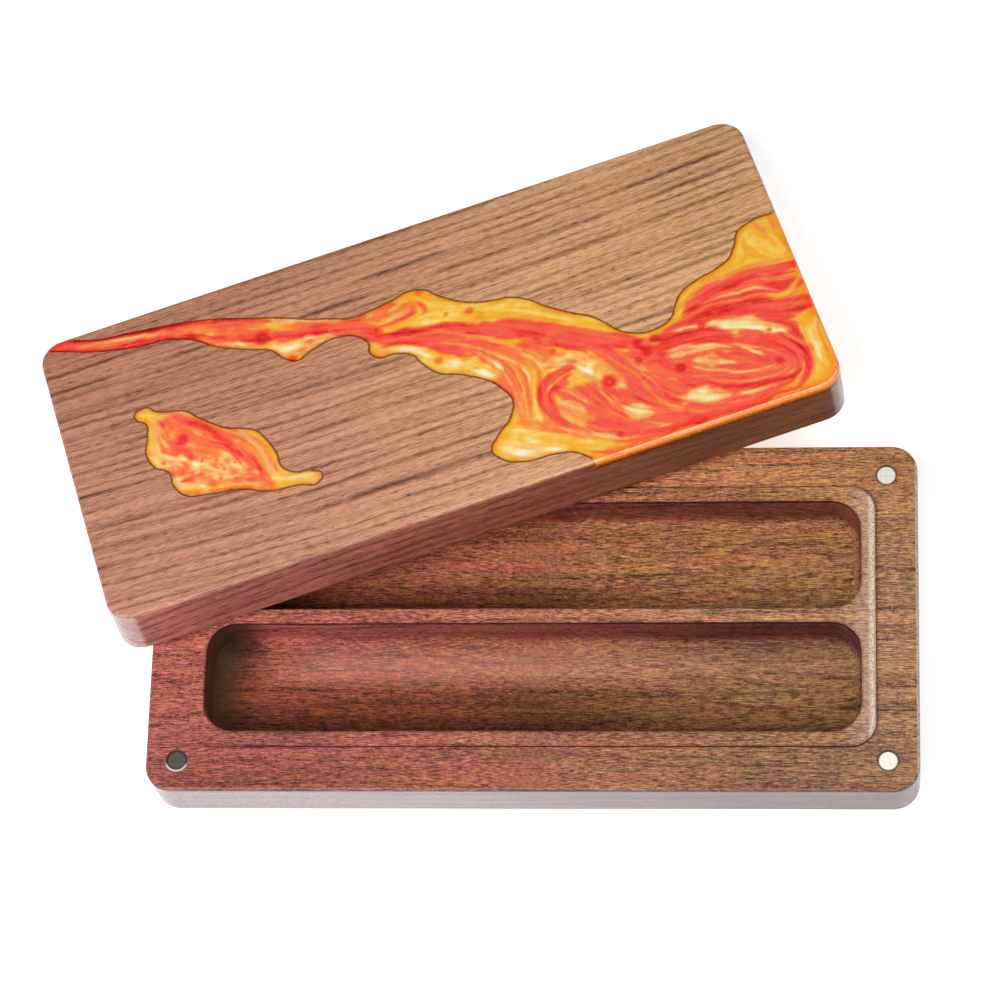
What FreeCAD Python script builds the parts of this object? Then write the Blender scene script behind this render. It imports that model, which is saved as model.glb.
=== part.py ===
# A two tray wooden dice box with its lift-off lid leaning on the back of the base.
#
# Units are millimetres, +Z is up and the origin is the centre of the base's underside.
# The base is one block with a narrow ledge all round and a raised lip in the middle.
# Two long trays are sunk into the lip. The lid is hollow underneath, so it drops over
# the lip, and magnets in the corners of both blocks hold it shut. A river and a small
# pool of coloured resin are inlaid flush in the top of the lid.
import FreeCAD, Part
import math
import os

# Both blocks
length = 190.0
width = 89.0
corner_radius = 6.5
top_edge_round = 0.9
bottom_edge_break = 0.5

# Base: ledge, lip and trays
ledge_height = 17.3
ledge_end_width = 10.6
ledge_side_width = 11.1
lip_height = 1.7
lip_corner_radius = 6.2
rim_edge_break = 0.4
tray_depth = 14.4
tray_end_wall = 3.4
tray_side_wall = 3.8
tray_divider = 3.7
tray_corner_radius = 7.5
tray_cove = 3.0

# Lid
lid_thickness = 15.0
hollow_depth = 8.5
hollow_cove = 3.0
hollow_edge_break = 0.3
lip_clearance = 0.35

# Corner magnets
magnet_diameter = 4.8
magnet_thickness = 2.0
magnet_inset = 7.75
magnet_sink = 0.3
bore_clearance = 0.1

# Resin inlays
resin_depth = 2.9

# How the lid leans on the base
lid_turn = 19.3
lid_slide_left = 25.1
lid_setback = 16.55
rest_gap = 0.15
steepest_lean = 60.0

# Banks of the river and the shore of the pool, read from the left end of the lid to
# the right. Each point is a fraction of the lid's half length and half width, so a
# longer or wider lid stretches its inlays and the river still runs off the edges.
BACK_BANK = [
    (-1.060, 1.120), (-0.910, 0.984), (-0.842, 0.928), (-0.737, 0.894), (-0.526, 0.804),
    (-0.421, 0.719), (-0.337, 0.647), (-0.274, 0.580), (-0.211, 0.528), (-0.168, 0.492),
    (-0.126, 0.494), (-0.053, 0.517), (0.011, 0.542), (0.047, 0.515), (0.074, 0.449),
    (0.158, 0.321), (0.211, 0.290), (0.253, 0.274), (0.289, 0.231), (0.347, 0.112),
    (0.400, 0.022), (0.442, -0.040), (0.468, -0.110), (0.500, -0.202), (0.592, -0.262),
    (0.634, -0.222), (0.655, -0.150), (0.679, -0.085), (0.737, -0.027), (0.792, 0.002),
    (0.832, 0.040), (0.858, 0.112), (0.884, 0.207), (0.922, 0.243), (1.000, 0.254),
    (1.080, 0.258)]
FRONT_BANK = [
    (-1.060, 1.010), (-0.975, 0.948), (-0.842, 0.831), (-0.737, 0.773), (-0.642, 0.747),
    (-0.589, 0.694), (-0.537, 0.598), (-0.453, 0.499), (-0.395, 0.438), (-0.371, 0.362),
    (-0.342, 0.315), (-0.295, 0.348), (-0.221, 0.381), (-0.171, 0.348), (-0.145, 0.272),
    (-0.150, 0.209), (-0.132, 0.153), (-0.084, 0.139), (-0.047, 0.101), (-0.024, 0.004),
    (0.008, -0.088), (0.063, -0.146), (0.151, -0.326), (0.166, -0.427), (0.147, -0.524),
    (0.100, -0.616), (0.071, -0.701), (0.092, -0.793), (0.150, -0.854), (0.221, -0.866),
    (0.268, -0.890), (0.300, -0.950), (0.330, -1.060)]
POOL_SHORE = [
    (-0.799, 0.303), (-0.758, 0.345), (-0.734, 0.295), (-0.700, 0.265), (-0.663, 0.238),
    (-0.626, 0.146), (-0.568, 0.031), (-0.526, -0.013), (-0.499, -0.047), (-0.474, -0.148),
    (-0.461, -0.247), (-0.456, -0.360), (-0.432, -0.411), (-0.389, -0.436), (-0.362, -0.490),
    (-0.380, -0.539), (-0.432, -0.515), (-0.511, -0.490), (-0.579, -0.418), (-0.663, -0.379),
    (-0.729, -0.330), (-0.749, -0.247), (-0.752, -0.148), (-0.786, -0.074), (-0.796, 0.022),
    (-0.779, 0.148), (-0.775, 0.229), (-0.794, 0.265)]

# What follows from the sizes above
half_length = length / 2
half_width = width / 2
base_height = ledge_height + lip_height
lip_half_length = half_length - ledge_end_width
lip_half_width = half_width - ledge_side_width
tray_half_length = lip_half_length - tray_end_wall
tray_half_width = (lip_half_width - tray_side_wall - tray_divider / 2) / 2
tray_offset = tray_divider / 2 + tray_half_width
hollow_half_length = lip_half_length + lip_clearance
hollow_half_width = lip_half_width + lip_clearance
bore_depth = magnet_thickness + magnet_sink
bore_radius = (magnet_diameter + bore_clearance) / 2
CORNERS = {
    "front_left": (-1, -1),
    "front_right": (1, -1),
    "back_left": (-1, 1),
    "back_right": (1, 1),
}


def rounded_outline(half_x, half_y, radius, z):
    """Closed wire of a rectangle with round corners, centred on the Z axis."""
    edges = []
    inner_x, inner_y = half_x - radius, half_y - radius
    corners = [(inner_x, inner_y, 0), (-inner_x, inner_y, 90),
               (-inner_x, -inner_y, 180), (inner_x, -inner_y, 270)]
    ends = []
    for centre_x, centre_y, start in corners:
        points = []
        for turn in (0, 45, 90):
            angle = math.radians(start + turn)
            points.append(FreeCAD.Vector(centre_x + radius * math.cos(angle),
                                         centre_y + radius * math.sin(angle), z))
        if ends:
            edges.append(Part.makeLine(ends[-1], points[0]))
        edges.append(Part.Arc(*points).toShape())
        ends += [points[0], points[2]]
    edges.append(Part.makeLine(ends[-1], ends[0]))
    return Part.Wire(edges)


def rounded_slab(half_x, half_y, radius, bottom, top):
    """Solid slab on a rounded outline, from one height to another."""
    face = Part.Face(rounded_outline(half_x, half_y, radius, bottom))
    return face.extrude(FreeCAD.Vector(0, 0, top - bottom))


def edges_at(shape, height):
    """Edges of a shape that lie flat at one height."""
    tolerance = 1e-4
    return [edge for edge in shape.Edges
            if abs(edge.BoundBox.ZMin - height) < tolerance
            and abs(edge.BoundBox.ZMax - height) < tolerance]


def eased(shape, height, radius):
    """Shape with all its edges at one height rounded over."""
    return shape.makeFillet(radius, edges_at(shape, height))


def broken(shape, height, size):
    """Shape with all its edges at one height broken by a small flat."""
    return shape.makeChamfer(size, edges_at(shape, height))


def corner_cylinders(radius, bottom, top):
    """One upright cylinder at each magnet place, by the name of its corner."""
    cylinders = {}
    for name, (side_x, side_y) in CORNERS.items():
        foot = FreeCAD.Vector(side_x * (half_length - magnet_inset),
                              side_y * (half_width - magnet_inset), bottom)
        cylinders[name] = Part.makeCylinder(radius, top - bottom, foot)
    return cylinders


def make_magnets(bottom):
    """Four disc magnets standing on the bottoms of their bores."""
    return corner_cylinders(magnet_diameter / 2, bottom, bottom + magnet_thickness)


def make_base():
    """Base block: ledge, lip, two coved trays and four magnet bores."""
    block = rounded_slab(half_length, half_width, corner_radius, 0, ledge_height)
    block = broken(block, 0, bottom_edge_break)
    block = eased(block, ledge_height, top_edge_round)
    lip = rounded_slab(lip_half_length, lip_half_width, lip_corner_radius,
                       ledge_height - lip_height, base_height)
    block = block.fuse(lip)
    tray_floor = base_height - tray_depth
    for side in (-1, 1):
        tray = rounded_slab(tray_half_length, tray_half_width, tray_corner_radius,
                            tray_floor, base_height + lip_height)
        tray = eased(tray, tray_floor, tray_cove)
        tray.translate(FreeCAD.Vector(0, side * tray_offset, 0))
        block = block.cut(tray)
    block = broken(block, base_height, rim_edge_break)
    bores = corner_cylinders(bore_radius, ledge_height - bore_depth, base_height)
    return block.cut(list(bores.values()))


def make_lid_blank():
    """Lid as one block: eased outside, hollow that takes the lip, and magnet bores."""
    block = rounded_slab(half_length, half_width, corner_radius, 0, lid_thickness)
    block = broken(block, 0, bottom_edge_break)
    block = eased(block, lid_thickness, top_edge_round)
    hollow = rounded_slab(hollow_half_length, hollow_half_width,
                          lip_corner_radius + lip_clearance, -hollow_depth, hollow_depth)
    hollow = eased(hollow, hollow_depth, hollow_cove)
    block = block.cut(hollow)
    mouth = [edge for edge in edges_at(block, 0)
             if abs(edge.BoundBox.Center.x) < hollow_half_length + lip_clearance
             and abs(edge.BoundBox.Center.y) < hollow_half_width + lip_clearance]
    block = block.makeChamfer(hollow_edge_break, mouth)
    bores = corner_cylinders(bore_radius, -bore_depth, bore_depth)
    return block.cut(list(bores.values()))


def on_lid(points):
    """Inlay points in millimetres, on the plane of the inlays' floor."""
    floor = lid_thickness - resin_depth
    return [FreeCAD.Vector(x * half_length, y * half_width, floor) for x, y in points]


def arc_between(start, heading, end):
    """Arc that leaves its start along a heading, or a line where it would be almost flat."""
    flattest_rise = 0.01
    chord = end - start
    along = FreeCAD.Vector(chord).normalize()
    across = FreeCAD.Vector(-along.y, along.x, 0)
    rise = chord.Length / 2 * heading.dot(across) / (1 + heading.dot(along))
    if abs(rise) < flattest_rise:
        return Part.makeLine(start, end)
    return Part.Arc(start, (start + end) / 2 + across * rise, end).toShape()


def two_arcs(start, start_heading, end, end_heading):
    """Two arcs that meet in a common tangent and keep the heading at both ends."""
    reach = end - start
    both = start_heading + end_heading
    spread = 2 - 2 * start_heading.dot(end_heading)
    nearly_parallel = 1e-9
    if spread > nearly_parallel:
        slope = reach.dot(both)
        arm = (math.sqrt(slope ** 2 + spread * reach.dot(reach)) - slope) / spread
    else:
        arm = reach.dot(reach) / (2 * reach.dot(both))
    meeting = (start + end + (start_heading - end_heading) * arm) / 2
    return [arc_between(start, start_heading, meeting), arc_between(end, -end_heading, meeting)]


def smooth_line(points, closed=False):
    """Edges of a smooth line through points, made of arcs that run into each other.

    At each point the line has the heading of the circle through it and its neighbours.
    """
    if closed:
        points = points + points[:1]
    steps = [end - start for start, end in zip(points, points[1:])]
    first, last = steps[0], steps[-1]
    if closed:
        first, last = last, first
    steps = [first] + steps + [last]
    headings = [(before / before.Length ** 2 + after / after.Length ** 2).normalize()
                for before, after in zip(steps, steps[1:])]
    edges = []
    for place in range(len(points) - 1):
        edges += two_arcs(points[place], headings[place], points[place + 1], headings[place + 1])
    return edges


def make_river_tool():
    """Prism between the two banks, a little taller and longer than the lid."""
    back, front = on_lid(BACK_BANK), on_lid(FRONT_BANK)
    outside = FreeCAD.Vector(back[-1].x, front[-1].y, back[-1].z)
    closing = [Part.makeLine(back[0], front[0]), Part.makeLine(front[-1], outside),
               Part.makeLine(outside, back[-1])]
    ring = Part.Wire(Part.__sortEdges__(smooth_line(back) + smooth_line(front) + closing))
    return Part.Face(ring).extrude(FreeCAD.Vector(0, 0, 2 * resin_depth))


def make_pool_tool():
    """Prism inside the pool's shore."""
    shore = Part.Wire(Part.__sortEdges__(smooth_line(on_lid(POOL_SHORE), closed=True)))
    return Part.Face(shore).extrude(FreeCAD.Vector(0, 0, 2 * resin_depth))


def lid_clears(angle):
    """Whether the lid, tipped by an angle with its back edge on the table, clears the base.

    The mouth of the hollow has to pass over the lip, and the hollow's ceiling over the
    back left corner of the ledge.
    """
    reach = half_width + hollow_half_width
    lip_free = reach * math.sin(angle) - base_height
    turn = math.radians(lid_turn)
    corner_x = lid_slide_left - half_length
    ahead = -corner_x * math.sin(turn) - lid_setback * math.cos(turn)
    run = half_width * math.cos(angle) - ahead
    corner_free = run * math.tan(angle) + hollow_depth / math.cos(angle) - ledge_height
    return min(lip_free, corner_free) >= rest_gap


def lean_angle():
    """Smallest tip, in radians, at which the lid clears the base by the rest gap."""
    finest_step = 1e-9
    low, high = 0.0, math.radians(steepest_lean)
    while high - low > finest_step:
        middle = (low + high) / 2
        if lid_clears(middle):
            high = middle
        else:
            low = middle
    return high


def lid_place():
    """Placement of the lid, from closed frame to leaning on the back of the base."""
    lean = lean_angle()
    turn = FreeCAD.Rotation(FreeCAD.Vector(0, 0, 1), lid_turn)
    tip = FreeCAD.Rotation(FreeCAD.Vector(1, 0, 0), -math.degrees(lean))
    centre = FreeCAD.Vector(-lid_slide_left, half_width + lid_setback, half_width * math.sin(lean))
    return FreeCAD.Placement(centre, turn.multiply(tip))


def build():
    """All the nodes by name, each where it lies in the photograph's arrangement."""
    nodes = {"base_block": make_base()}
    for corner, magnet in make_magnets(ledge_height - bore_depth).items():
        nodes["base_magnet_" + corner] = magnet

    blank = make_lid_blank()
    river_tool, pool_tool = make_river_tool(), make_pool_tool()
    lid = {
        "lid_block": blank.cut([river_tool, pool_tool]),
        "resin_river": blank.common(river_tool),
        "resin_pool": blank.common(pool_tool),
    }
    for corner, magnet in make_magnets(magnet_sink).items():
        lid["lid_magnet_" + corner] = magnet

    place = lid_place()
    for name, shape in lid.items():
        shape.Placement = place.multiply(shape.Placement)
        nodes[name] = shape
    return nodes


if __name__ == "__main__":
    os.makedirs("parts", exist_ok=True)
    for node_name, node_shape in build().items():
        node_shape.exportStep(os.path.join("parts", node_name + ".step"))
        print(node_name, len(node_shape.Solids), "solid", round(node_shape.Volume, 1), "mm3",
              "valid" if node_shape.isValid() else "not valid")
    print("lean", round(math.degrees(lean_angle()), 3), "degrees")
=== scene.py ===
import math

import bmesh
import bpy
import numpy as np
from bpy.props import FloatProperty, FloatVectorProperty, IntProperty, PointerProperty
from mathutils import Matrix, Vector
from mathutils.geometry import delaunay_2d_cdt


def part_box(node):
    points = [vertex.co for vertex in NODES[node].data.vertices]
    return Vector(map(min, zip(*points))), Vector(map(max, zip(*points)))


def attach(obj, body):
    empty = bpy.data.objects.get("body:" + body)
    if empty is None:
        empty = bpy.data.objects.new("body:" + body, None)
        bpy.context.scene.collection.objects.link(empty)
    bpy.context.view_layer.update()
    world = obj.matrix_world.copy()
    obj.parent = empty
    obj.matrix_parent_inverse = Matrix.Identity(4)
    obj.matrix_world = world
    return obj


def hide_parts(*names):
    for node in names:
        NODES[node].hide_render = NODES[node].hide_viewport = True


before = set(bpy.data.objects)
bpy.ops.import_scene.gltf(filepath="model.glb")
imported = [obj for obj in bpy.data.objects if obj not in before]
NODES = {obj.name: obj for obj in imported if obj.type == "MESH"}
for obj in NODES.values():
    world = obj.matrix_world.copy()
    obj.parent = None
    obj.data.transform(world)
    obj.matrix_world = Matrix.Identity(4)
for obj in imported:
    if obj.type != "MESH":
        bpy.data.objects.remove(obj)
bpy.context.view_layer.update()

bl_info = {
    "name": "Wooden dice box",
    "version": (1, 0, 0),
    "blender": (4, 5, 0),
    "location": "View3D > Sidebar > Dice Box",
    "description": "Finishes a dice box: two wooden blocks, disc magnets and marbled resin inlays",
    "category": "Object",
}

MM = 0.001                  # metres in a millimetre

CORNERS = ("front_left", "front_right", "back_left", "back_right")

# Measures of the base, in mm
BASE_TOP = 19.0             # height of the lip and the divider
LEDGE_TOP = 17.3            # height of the ledge round the lip
TRAYS_REACH = (82.0, 31.0)  # half sizes of a space that holds both trays

WOOD_ROUGHNESS = 0.55
LONGEST_EDGE = 0.8          # on the resin's sides, in mm
SHARP_ANGLE = math.radians(25)

# The camera's place in metres, and its directions
CAMERA_PLACE = (0.084359, -0.293548, 0.932613)
CAMERA_AHEAD = (-0.09567, 0.33244, -0.93826)
CAMERA_UP = (0.00579, 0.94275, 0.33344)

# Dark growth lines of the lid's board: (place across the board, half width, darkness), mm
LID_LINES = (
    (-47.6, 0.8, 0.50), (-44.6, 0.7, 0.40), (-42.0, 0.8, 0.50), (-39.2, 0.6, 0.40),
    (-36.6, 0.8, 0.50), (-34.2, 0.5, 0.30), (-31.6, 1.2, 0.75), (-28.6, 0.7, 0.40),
    (-25.6, 0.9, 0.60), (-22.2, 0.6, 0.40), (-19.6, 0.9, 0.65), (-16.8, 0.6, 0.35),
    (-13.6, 0.8, 0.50), (-11.0, 0.6, 0.40), (-8.4, 1.0, 0.70), (-5.6, 0.6, 0.35),
    (-3.0, 0.8, 0.50), (-0.6, 0.6, 0.35), (2.4, 0.8, 0.50), (4.9, 1.0, 0.60),
    (7.2, 0.6, 0.40), (9.2, 0.7, 0.50), (11.6, 0.8, 0.55), (14.6, 0.7, 0.45),
    (17.4, 0.7, 0.50), (19.9, 0.9, 0.60), (22.2, 0.6, 0.35), (24.4, 0.7, 0.50),
    (27.2, 1.1, 0.75), (29.4, 0.6, 0.40), (32.6, 1.0, 0.75), (35.2, 0.7, 0.50),
    (37.8, 0.8, 0.55), (40.4, 0.7, 0.50), (43.6, 0.8, 0.55), (47.0, 0.9, 0.60),
    (52.5, 0.9, 0.60))

# Where the lines are shared out between colour ramps, which hold at most 32 stops
LINE_BREAKS = (-50.0, -24.0, 0.4, 23.2, 60.0)

# Tones of the resin, from dark red to nearly white. Amber and gold are the yellow kind,
# which lies along the banks, orange is half yellow, and all the others are the red kind.
DEEP, CRIMSON, RED, ROSE, FLAME, ORANGE = 0.04, 0.14, 0.22, 0.30, 0.42, 0.54
PEACH, AMBER, HONEY, GOLD, CREAM, WHITE = 0.62, 0.70, 0.75, 0.77, 0.87, 0.98

# Streaks of colour in the river, in mm on the lid's top: (tone, half width, points).
# A streak of one point is a round blot. They are laid down in this order, each over
# those before it.
RIVER_STREAKS = (
    # the thin tail at the back left
    (RED, 5.0, ((-98, 42), (-86, 41), (-74, 38), (-62, 35.6), (-50, 31), (-40, 27))),
    (ROSE, 1.8, ((-92, 41), (-86, 41.3), (-80, 39.5), (-72, 37.5), (-62, 36))),
    (FLAME, 0.9, ((-90, 40.6), (-82, 38.6), (-74, 36.6), (-66, 35.6))),
    (PEACH, 1.1, ((-85, 40.2), (-77, 39.1), (-69, 37.8), (-61, 36.5))),
    (HONEY, 0.5, ((-75, 38.8), (-68, 37.7), (-62, 37))),
    (RED, 0.6, ((-84, 38.6), (-76, 36.6), (-69, 35.2), (-61, 34.4))),
    (CRIMSON, 0.5, ((-74, 36.6), (-66, 35.6), (-60, 35))),
    (CRIMSON, 0.5, ((-80, 40.6), (-72, 39.6), (-63, 38), (-54, 35.8))),
    # the first swelling
    (FLAME, 2.6, ((-61, 35.6), (-54, 33.4), (-47, 31), (-41, 28), (-37, 26))),
    (ORANGE, 1.5, ((-58, 35.2), (-53.5, 33), (-49, 31.6), (-45, 31))),
    (PEACH, 0.6, ((-54.6, 33), (-52.4, 31.8), (-50, 31.4))),
    (FLAME, 1.0, ((-50, 33.4), (-46, 32.4), (-42, 30.6))),
    (CRIMSON, 1.1, ((-59, 33.8), (-56.3, 32.4), (-53, 30.8), (-49, 29), (-44, 27.4))),
    (RED, 1.7, ((-50, 29), (-45, 27.2), (-41, 25.8), (-37, 24.4))),
    (PEACH, 1.6, ((-54, 30), (-49, 26.8), (-44.5, 24.4), (-40, 22.3))),
    (CREAM, 0.6, ((-51, 27.8), (-46, 25.2), (-43, 23.8))),
    (ORANGE, 1.1, ((-43, 30.2), (-40.5, 29.4), (-38, 29))),
    (PEACH, 0.6, ((-42, 29.6), (-40.4, 29.4))),
    (RED, 0.9, ((-50, 35), (-45, 33.4), (-39, 30.8), (-36, 29))),
    (FLAME, 0.6, ((-44.4, 29.2), (-43.6, 28.2))),
    # the swelling before the neck
    (PEACH, 2.1, ((-35.5, 28.6), (-31, 27.4), (-27, 25), (-22, 23.1), (-18, 22.6))),
    (HONEY, 0.7, ((-33, 28), (-29.4, 26.8), (-26, 25))),
    (ORANGE, 0.9, ((-34, 26.4), (-29, 25.3), (-24, 23.2))),
    (PEACH, 2.8, ((-38, 21), (-34, 18.2), (-30, 18), (-25, 18.8), (-20, 18.4))),
    (HONEY, 1.5, ((-37, 20.4), (-33.5, 18.6), (-30, 17.8))),
    (CREAM, 0.7, ((-35, 19.4), (-33, 18.6), (-31.4, 18.4))),
    (RED, 1.7, ((-40, 24), (-35, 23.6), (-29, 22.4), (-23, 21), (-17, 19.4))),
    (CRIMSON, 0.5, ((-38, 23.4), (-34, 23.2), (-29, 22))),
    (ROSE, 0.6, ((-36, 22), (-30, 21), (-25, 20.4))),
    (CREAM, 0.8, ((-28, 20), (-26.6, 20.2))),
    (FLAME, 0.8, ((-28.4, 18.8), (-26.8, 18.2))),
    # the neck
    (ROSE, 2.8, ((-22, 20.4), (-17, 18.8), (-13, 16), (-9.5, 12.6))),
    (CRIMSON, 0.6, ((-20.6, 19.4), (-18.8, 18.6))),
    (CRIMSON, 0.6, ((-15, 16.4), (-12.4, 14.8), (-10, 14.2))),
    (ORANGE, 0.4, ((-20, 21.8), (-14.5, 19.7), (-9, 17.7), (-5, 17.4))),
    (FLAME, 0.5, ((-22, 21.4), (-16, 19.4), (-11, 16.4))),
    (RED, 0.8, ((-15.5, 21), (-13, 20.7), (-10.5, 20.2))),
    # the upper lobe
    (ORANGE, 2.9, ((-13, 19.4), (-7, 20), (-1, 20.6), (3, 19))),
    (FLAME, 1.1, ((-11, 20.6), (-6, 21.6), (-1.5, 22.4))),
    (AMBER, 0.6, ((-7, 20.4), (-3.4, 21.2))),
    (AMBER, 2.6, ((-4, 22.6), (0.8, 22.4), (4, 19), (7, 15.4), (12, 12.8))),
    (GOLD, 1.8, ((2, 20.6), (5, 17), (8, 14.6), (12, 13))),
    (PEACH, 1.3, ((-8, 17.6), (-3, 18.3), (-1.4, 19.2))),
    (AMBER, 0.6, ((-9, 18.2), (-6.4, 17.6))),
    (RED, 0.7, ((-10, 16.4), (-6, 16.2), (-2.4, 16.6), (-0.3, 17.6), (0.3, 19))),
    (FLAME, 0.7, ((1.3, 15.4), (2.4, 16.6), (2.2, 18.6), (1, 19.6))),
    (RED, 0.4, ((2.2, 15.8), (3, 16.8))),
    (GOLD, 1.3, ((-4, 15.2), (1, 14.6), (6, 13.4), (11, 12.2))),
    (GOLD, 2.6, ((1, 13.4), (6, 12.8), (11, 12.4), (17, 11), (22, 9.4))),
    (AMBER, 3.0, ((12, 11.6), (19, 9.6), (25, 7.4), (31, 3.8), (36, 0.4), (41, -3.4))),
    (GOLD, 1.3, ((17, 11), (22, 9.6), (27, 6.6), (31, 3.8))),
    (AMBER, 0.8, ((20, 8.4), (23, 7))),
    (AMBER, 0.8, ((29, 2.6), (34, 0.2), (38, -2.4))),
    (ORANGE, 0.9, ((12.8, 12.6), (14, 11.2))),
    (ORANGE, 0.7, ((21.4, 7.8), (22.8, 7.2))),
    # the knob and the pale bank on the lower side
    (AMBER, 2.2, ((-13.6, 11.4), (-12.6, 8.8), (-9.6, 7.6), (-6, 7))),
    (PEACH, 1.0, ((-12.8, 10.6), (-11, 8.8), (-8.6, 8.2))),
    (GOLD, 3.0, ((-9, 8), (-4.4, 5), (-1, 1.2), (3, -2.4), (9, -6), (14, -10))),
    (CREAM, 1.4, ((-7, 8), (-3.6, 5.8), (-0.4, 2.4))),
    (CREAM, 1.3, ((3.6, -1.4), (5.4, -2.2), (7, -3.4))),
    (CREAM, 0.9, ((9, -6.6), (11.4, -8.4), (13, -9.6))),
    (AMBER, 0.8, ((7, -1.6), (9.6, -3))),
    (ORANGE, 1.2, ((1.4, 0.4), (2.4, 0))),
    (FLAME, 0.6, ((1.6, 0.3),)),
    (AMBER, 1.8, ((12.4, -10), (15, -14), (16, -19), (15.4, -25))),
    # the main red current
    (ROSE, 2.6, ((-14, 13.6), (-9, 12.2), (-1, 10.2), (8, 7.2), (16, 3.6), (23, -0.8))),
    (FLAME, 2.4, ((-2, 7), (5, 4.2), (12, 1), (18, -4), (23, -9))),
    (CRIMSON, 0.8, ((-12, 13.8), (-6, 13), (0, 11.4), (7, 9.4), (14, 7.2), (19, 4.6))),
    (RED, 0.9, ((-4, 11), (4, 8.6), (11, 6.4), (17, 3.4))),
    (PEACH, 0.35, ((-10.6, 11.8), (-5, 10.8), (0, 9.6), (5, 8.4))),
    (ORANGE, 0.5, ((1, 10), (4, 9), (6, 8.2))),
    (RED, 0.8, ((-11, 10), (-6, 9.6), (-2, 8.2), (3, 6.2), (9, 4.4))),
    (RED, 3.4, ((12, 7), (20, 3.2), (27, -1.2), (34, -5.4), (42, -10), (50, -14.4))),
    (ROSE, 2.4, ((18, 5), (25, 1), (32, -3), (39, -7.6), (45, -11.4))),
    (ROSE, 0.7, ((24, -2), (29, -5), (34, -8.4), (38, -12))),
    (CRIMSON, 0.6, ((23, -0.8), (25.6, -2.4), (27.6, -3.6))),
    (PEACH, 0.45, ((28.6, -3.8), (29.6, -4.8))),
    (ORANGE, 0.6, ((4, 8), (9, 6), (14, 3.4), (19, -0.4))),
    (CRIMSON, 0.4, ((6, 5.6), (12, 2.8), (17, -0.8), (21, -4.6))),
    (RED, 0.5, ((8, 7.4), (13, 5), (18, 1.6), (22, -2))),
    (RED, 1.3, ((1, 5), (4, 3), (9, -0.2), (12.4, -3.2))),
    (PEACH, 0.5, ((4, 4.6), (9, 2.2), (13, -1.2), (16, -5.4))),
    (FLAME, 1.2, ((22, -3.4), (26, -6), (30, -9))),
    # currents that turn down towards the lower lobe
    (ORANGE, 3.4, ((12, -1), (17, -7), (18.6, -14), (18, -21), (17, -27))),
    (HONEY, 0.5, ((14, -2), (19.6, -8), (22, -14), (21.4, -21), (20, -27))),
    (FLAME, 0.7, ((17, -1), (21.6, -6), (24.4, -10.4))),
    (ORANGE, 0.5, ((19, -1.6), (23, -5.4), (27, -9.4))),
    (FLAME, 1.0, ((11, 0.4), (15.4, -4.4), (17.6, -10), (18.4, -16), (17.4, -23))),
    (RED, 0.4, ((11, -0.2), (16, -5), (18.6, -11), (19, -17))),
    (FLAME, 0.6, ((13, -5), (15.8, -10), (16.8, -16), (16.2, -23))),
    (ORANGE, 1.5, ((26, -6.4), (24.4, -12), (22.6, -18), (21.6, -25), (23, -30))),
    (AMBER, 0.7, ((25, -9), (23.2, -15), (21.4, -21), (21, -27))),
    (FLAME, 0.4, ((19, -6), (20.8, -12), (20.4, -19), (18.6, -26))),
    (GOLD, 0.5, ((24.4, -9), (22.8, -15), (21, -22), (20.6, -28))),
    (ORANGE, 0.4, ((25.6, -9), (24, -15), (22.4, -20))),
    (ROSE, 1.2, ((12.6, -5.4), (12.4, -3), (11.4, -1.4))),
    (CREAM, 0.5, ((12, -2.2), (12.8, -3.4))),
    (CREAM, 0.7, ((14.6, -5.6), (16, -7.6), (16.6, -9.4))),
    (PEACH, 0.8, ((13.4, -7.6), (14.6, -9.4))),
    (FLAME, 1.3, ((13.6, -11), (15, -13), (15.8, -15.6))),
    # the lower left lobe
    (GOLD, 5.0, ((9, -31), (13, -33), (19, -35.6), (24, -37.4))),
    (HONEY, 2.2, ((10.6, -30.6), (13, -33.6), (17, -35.8), (20, -36.2))),
    (CREAM, 0.9, ((11, -31.4), (13.4, -34), (16.4, -35.4))),
    (CREAM, 0.7, ((20.4, -35.4), (23, -37))),
    (AMBER, 1.0, ((14, -26), (10.6, -28.4), (8, -31.6), (9, -34.6), (13, -37.4))),
    (GOLD, 1.0, ((13, -27.8), (15.4, -29), (17.6, -30.4))),
    (WHITE, 0.45, ((14.4, -30.6), (16.4, -32), (18.8, -33.1))),
    (ORANGE, 1.7, ((15, -26), (20, -29), (26, -32.4), (32, -36.4), (37, -40))),
    (PEACH, 0.5, ((17, -29.6), (22, -32.2), (27, -35.4), (31, -38.6))),
    (AMBER, 0.8, ((17, -31.4), (22, -33.6), (27, -36.8), (31, -40))),
    (FLAME, 0.7, ((17, -26.6), (22, -29), (28, -32.6), (34, -37.6))),
    (AMBER, 2.4, ((25, -38.6), (29, -40.6), (33, -43), (37, -44.4))),
    (GOLD, 0.8, ((22, -33.4), (27, -36), (32, -39.4))),
    # the great red field
    (ROSE, 8.0, ((30, -23), (38, -27), (48, -28), (58, -27), (70, -27), (82, -31))),
    (ROSE, 5.6, ((32, -33), (42, -38), (55, -39.4), (68, -39.8), (80, -38))),
    (ROSE, 6.0, ((66, -30), (74, -31), (81, -33), (86, -34))),
    (RED, 4.6, ((48, -17), (58, -17.4), (68, -18), (78, -22), (85, -28))),
    (RED, 2.0, ((80, -18), (86, -20.6), (88, -25), (87.6, -31))),
    (RED, 2.8, ((58, -13.4), (70, -12.8), (80, -14.4), (88, -17.4), (96, -19))),
    (ROSE, 3.0, ((40, -12), (46, -19), (51, -26), (56, -32), (62, -38))),
    (RED, 1.6, ((46, -40), (56, -42.4), (68, -42.8), (79, -41.4))),
    (ORANGE, 3.2, ((22, -6), (26, -9), (32, -12.4))),
    (PEACH, 3.4, ((29, -10.4), (33, -12.8), (36, -15.4), (39.4, -19.4), (43, -25))),
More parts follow.
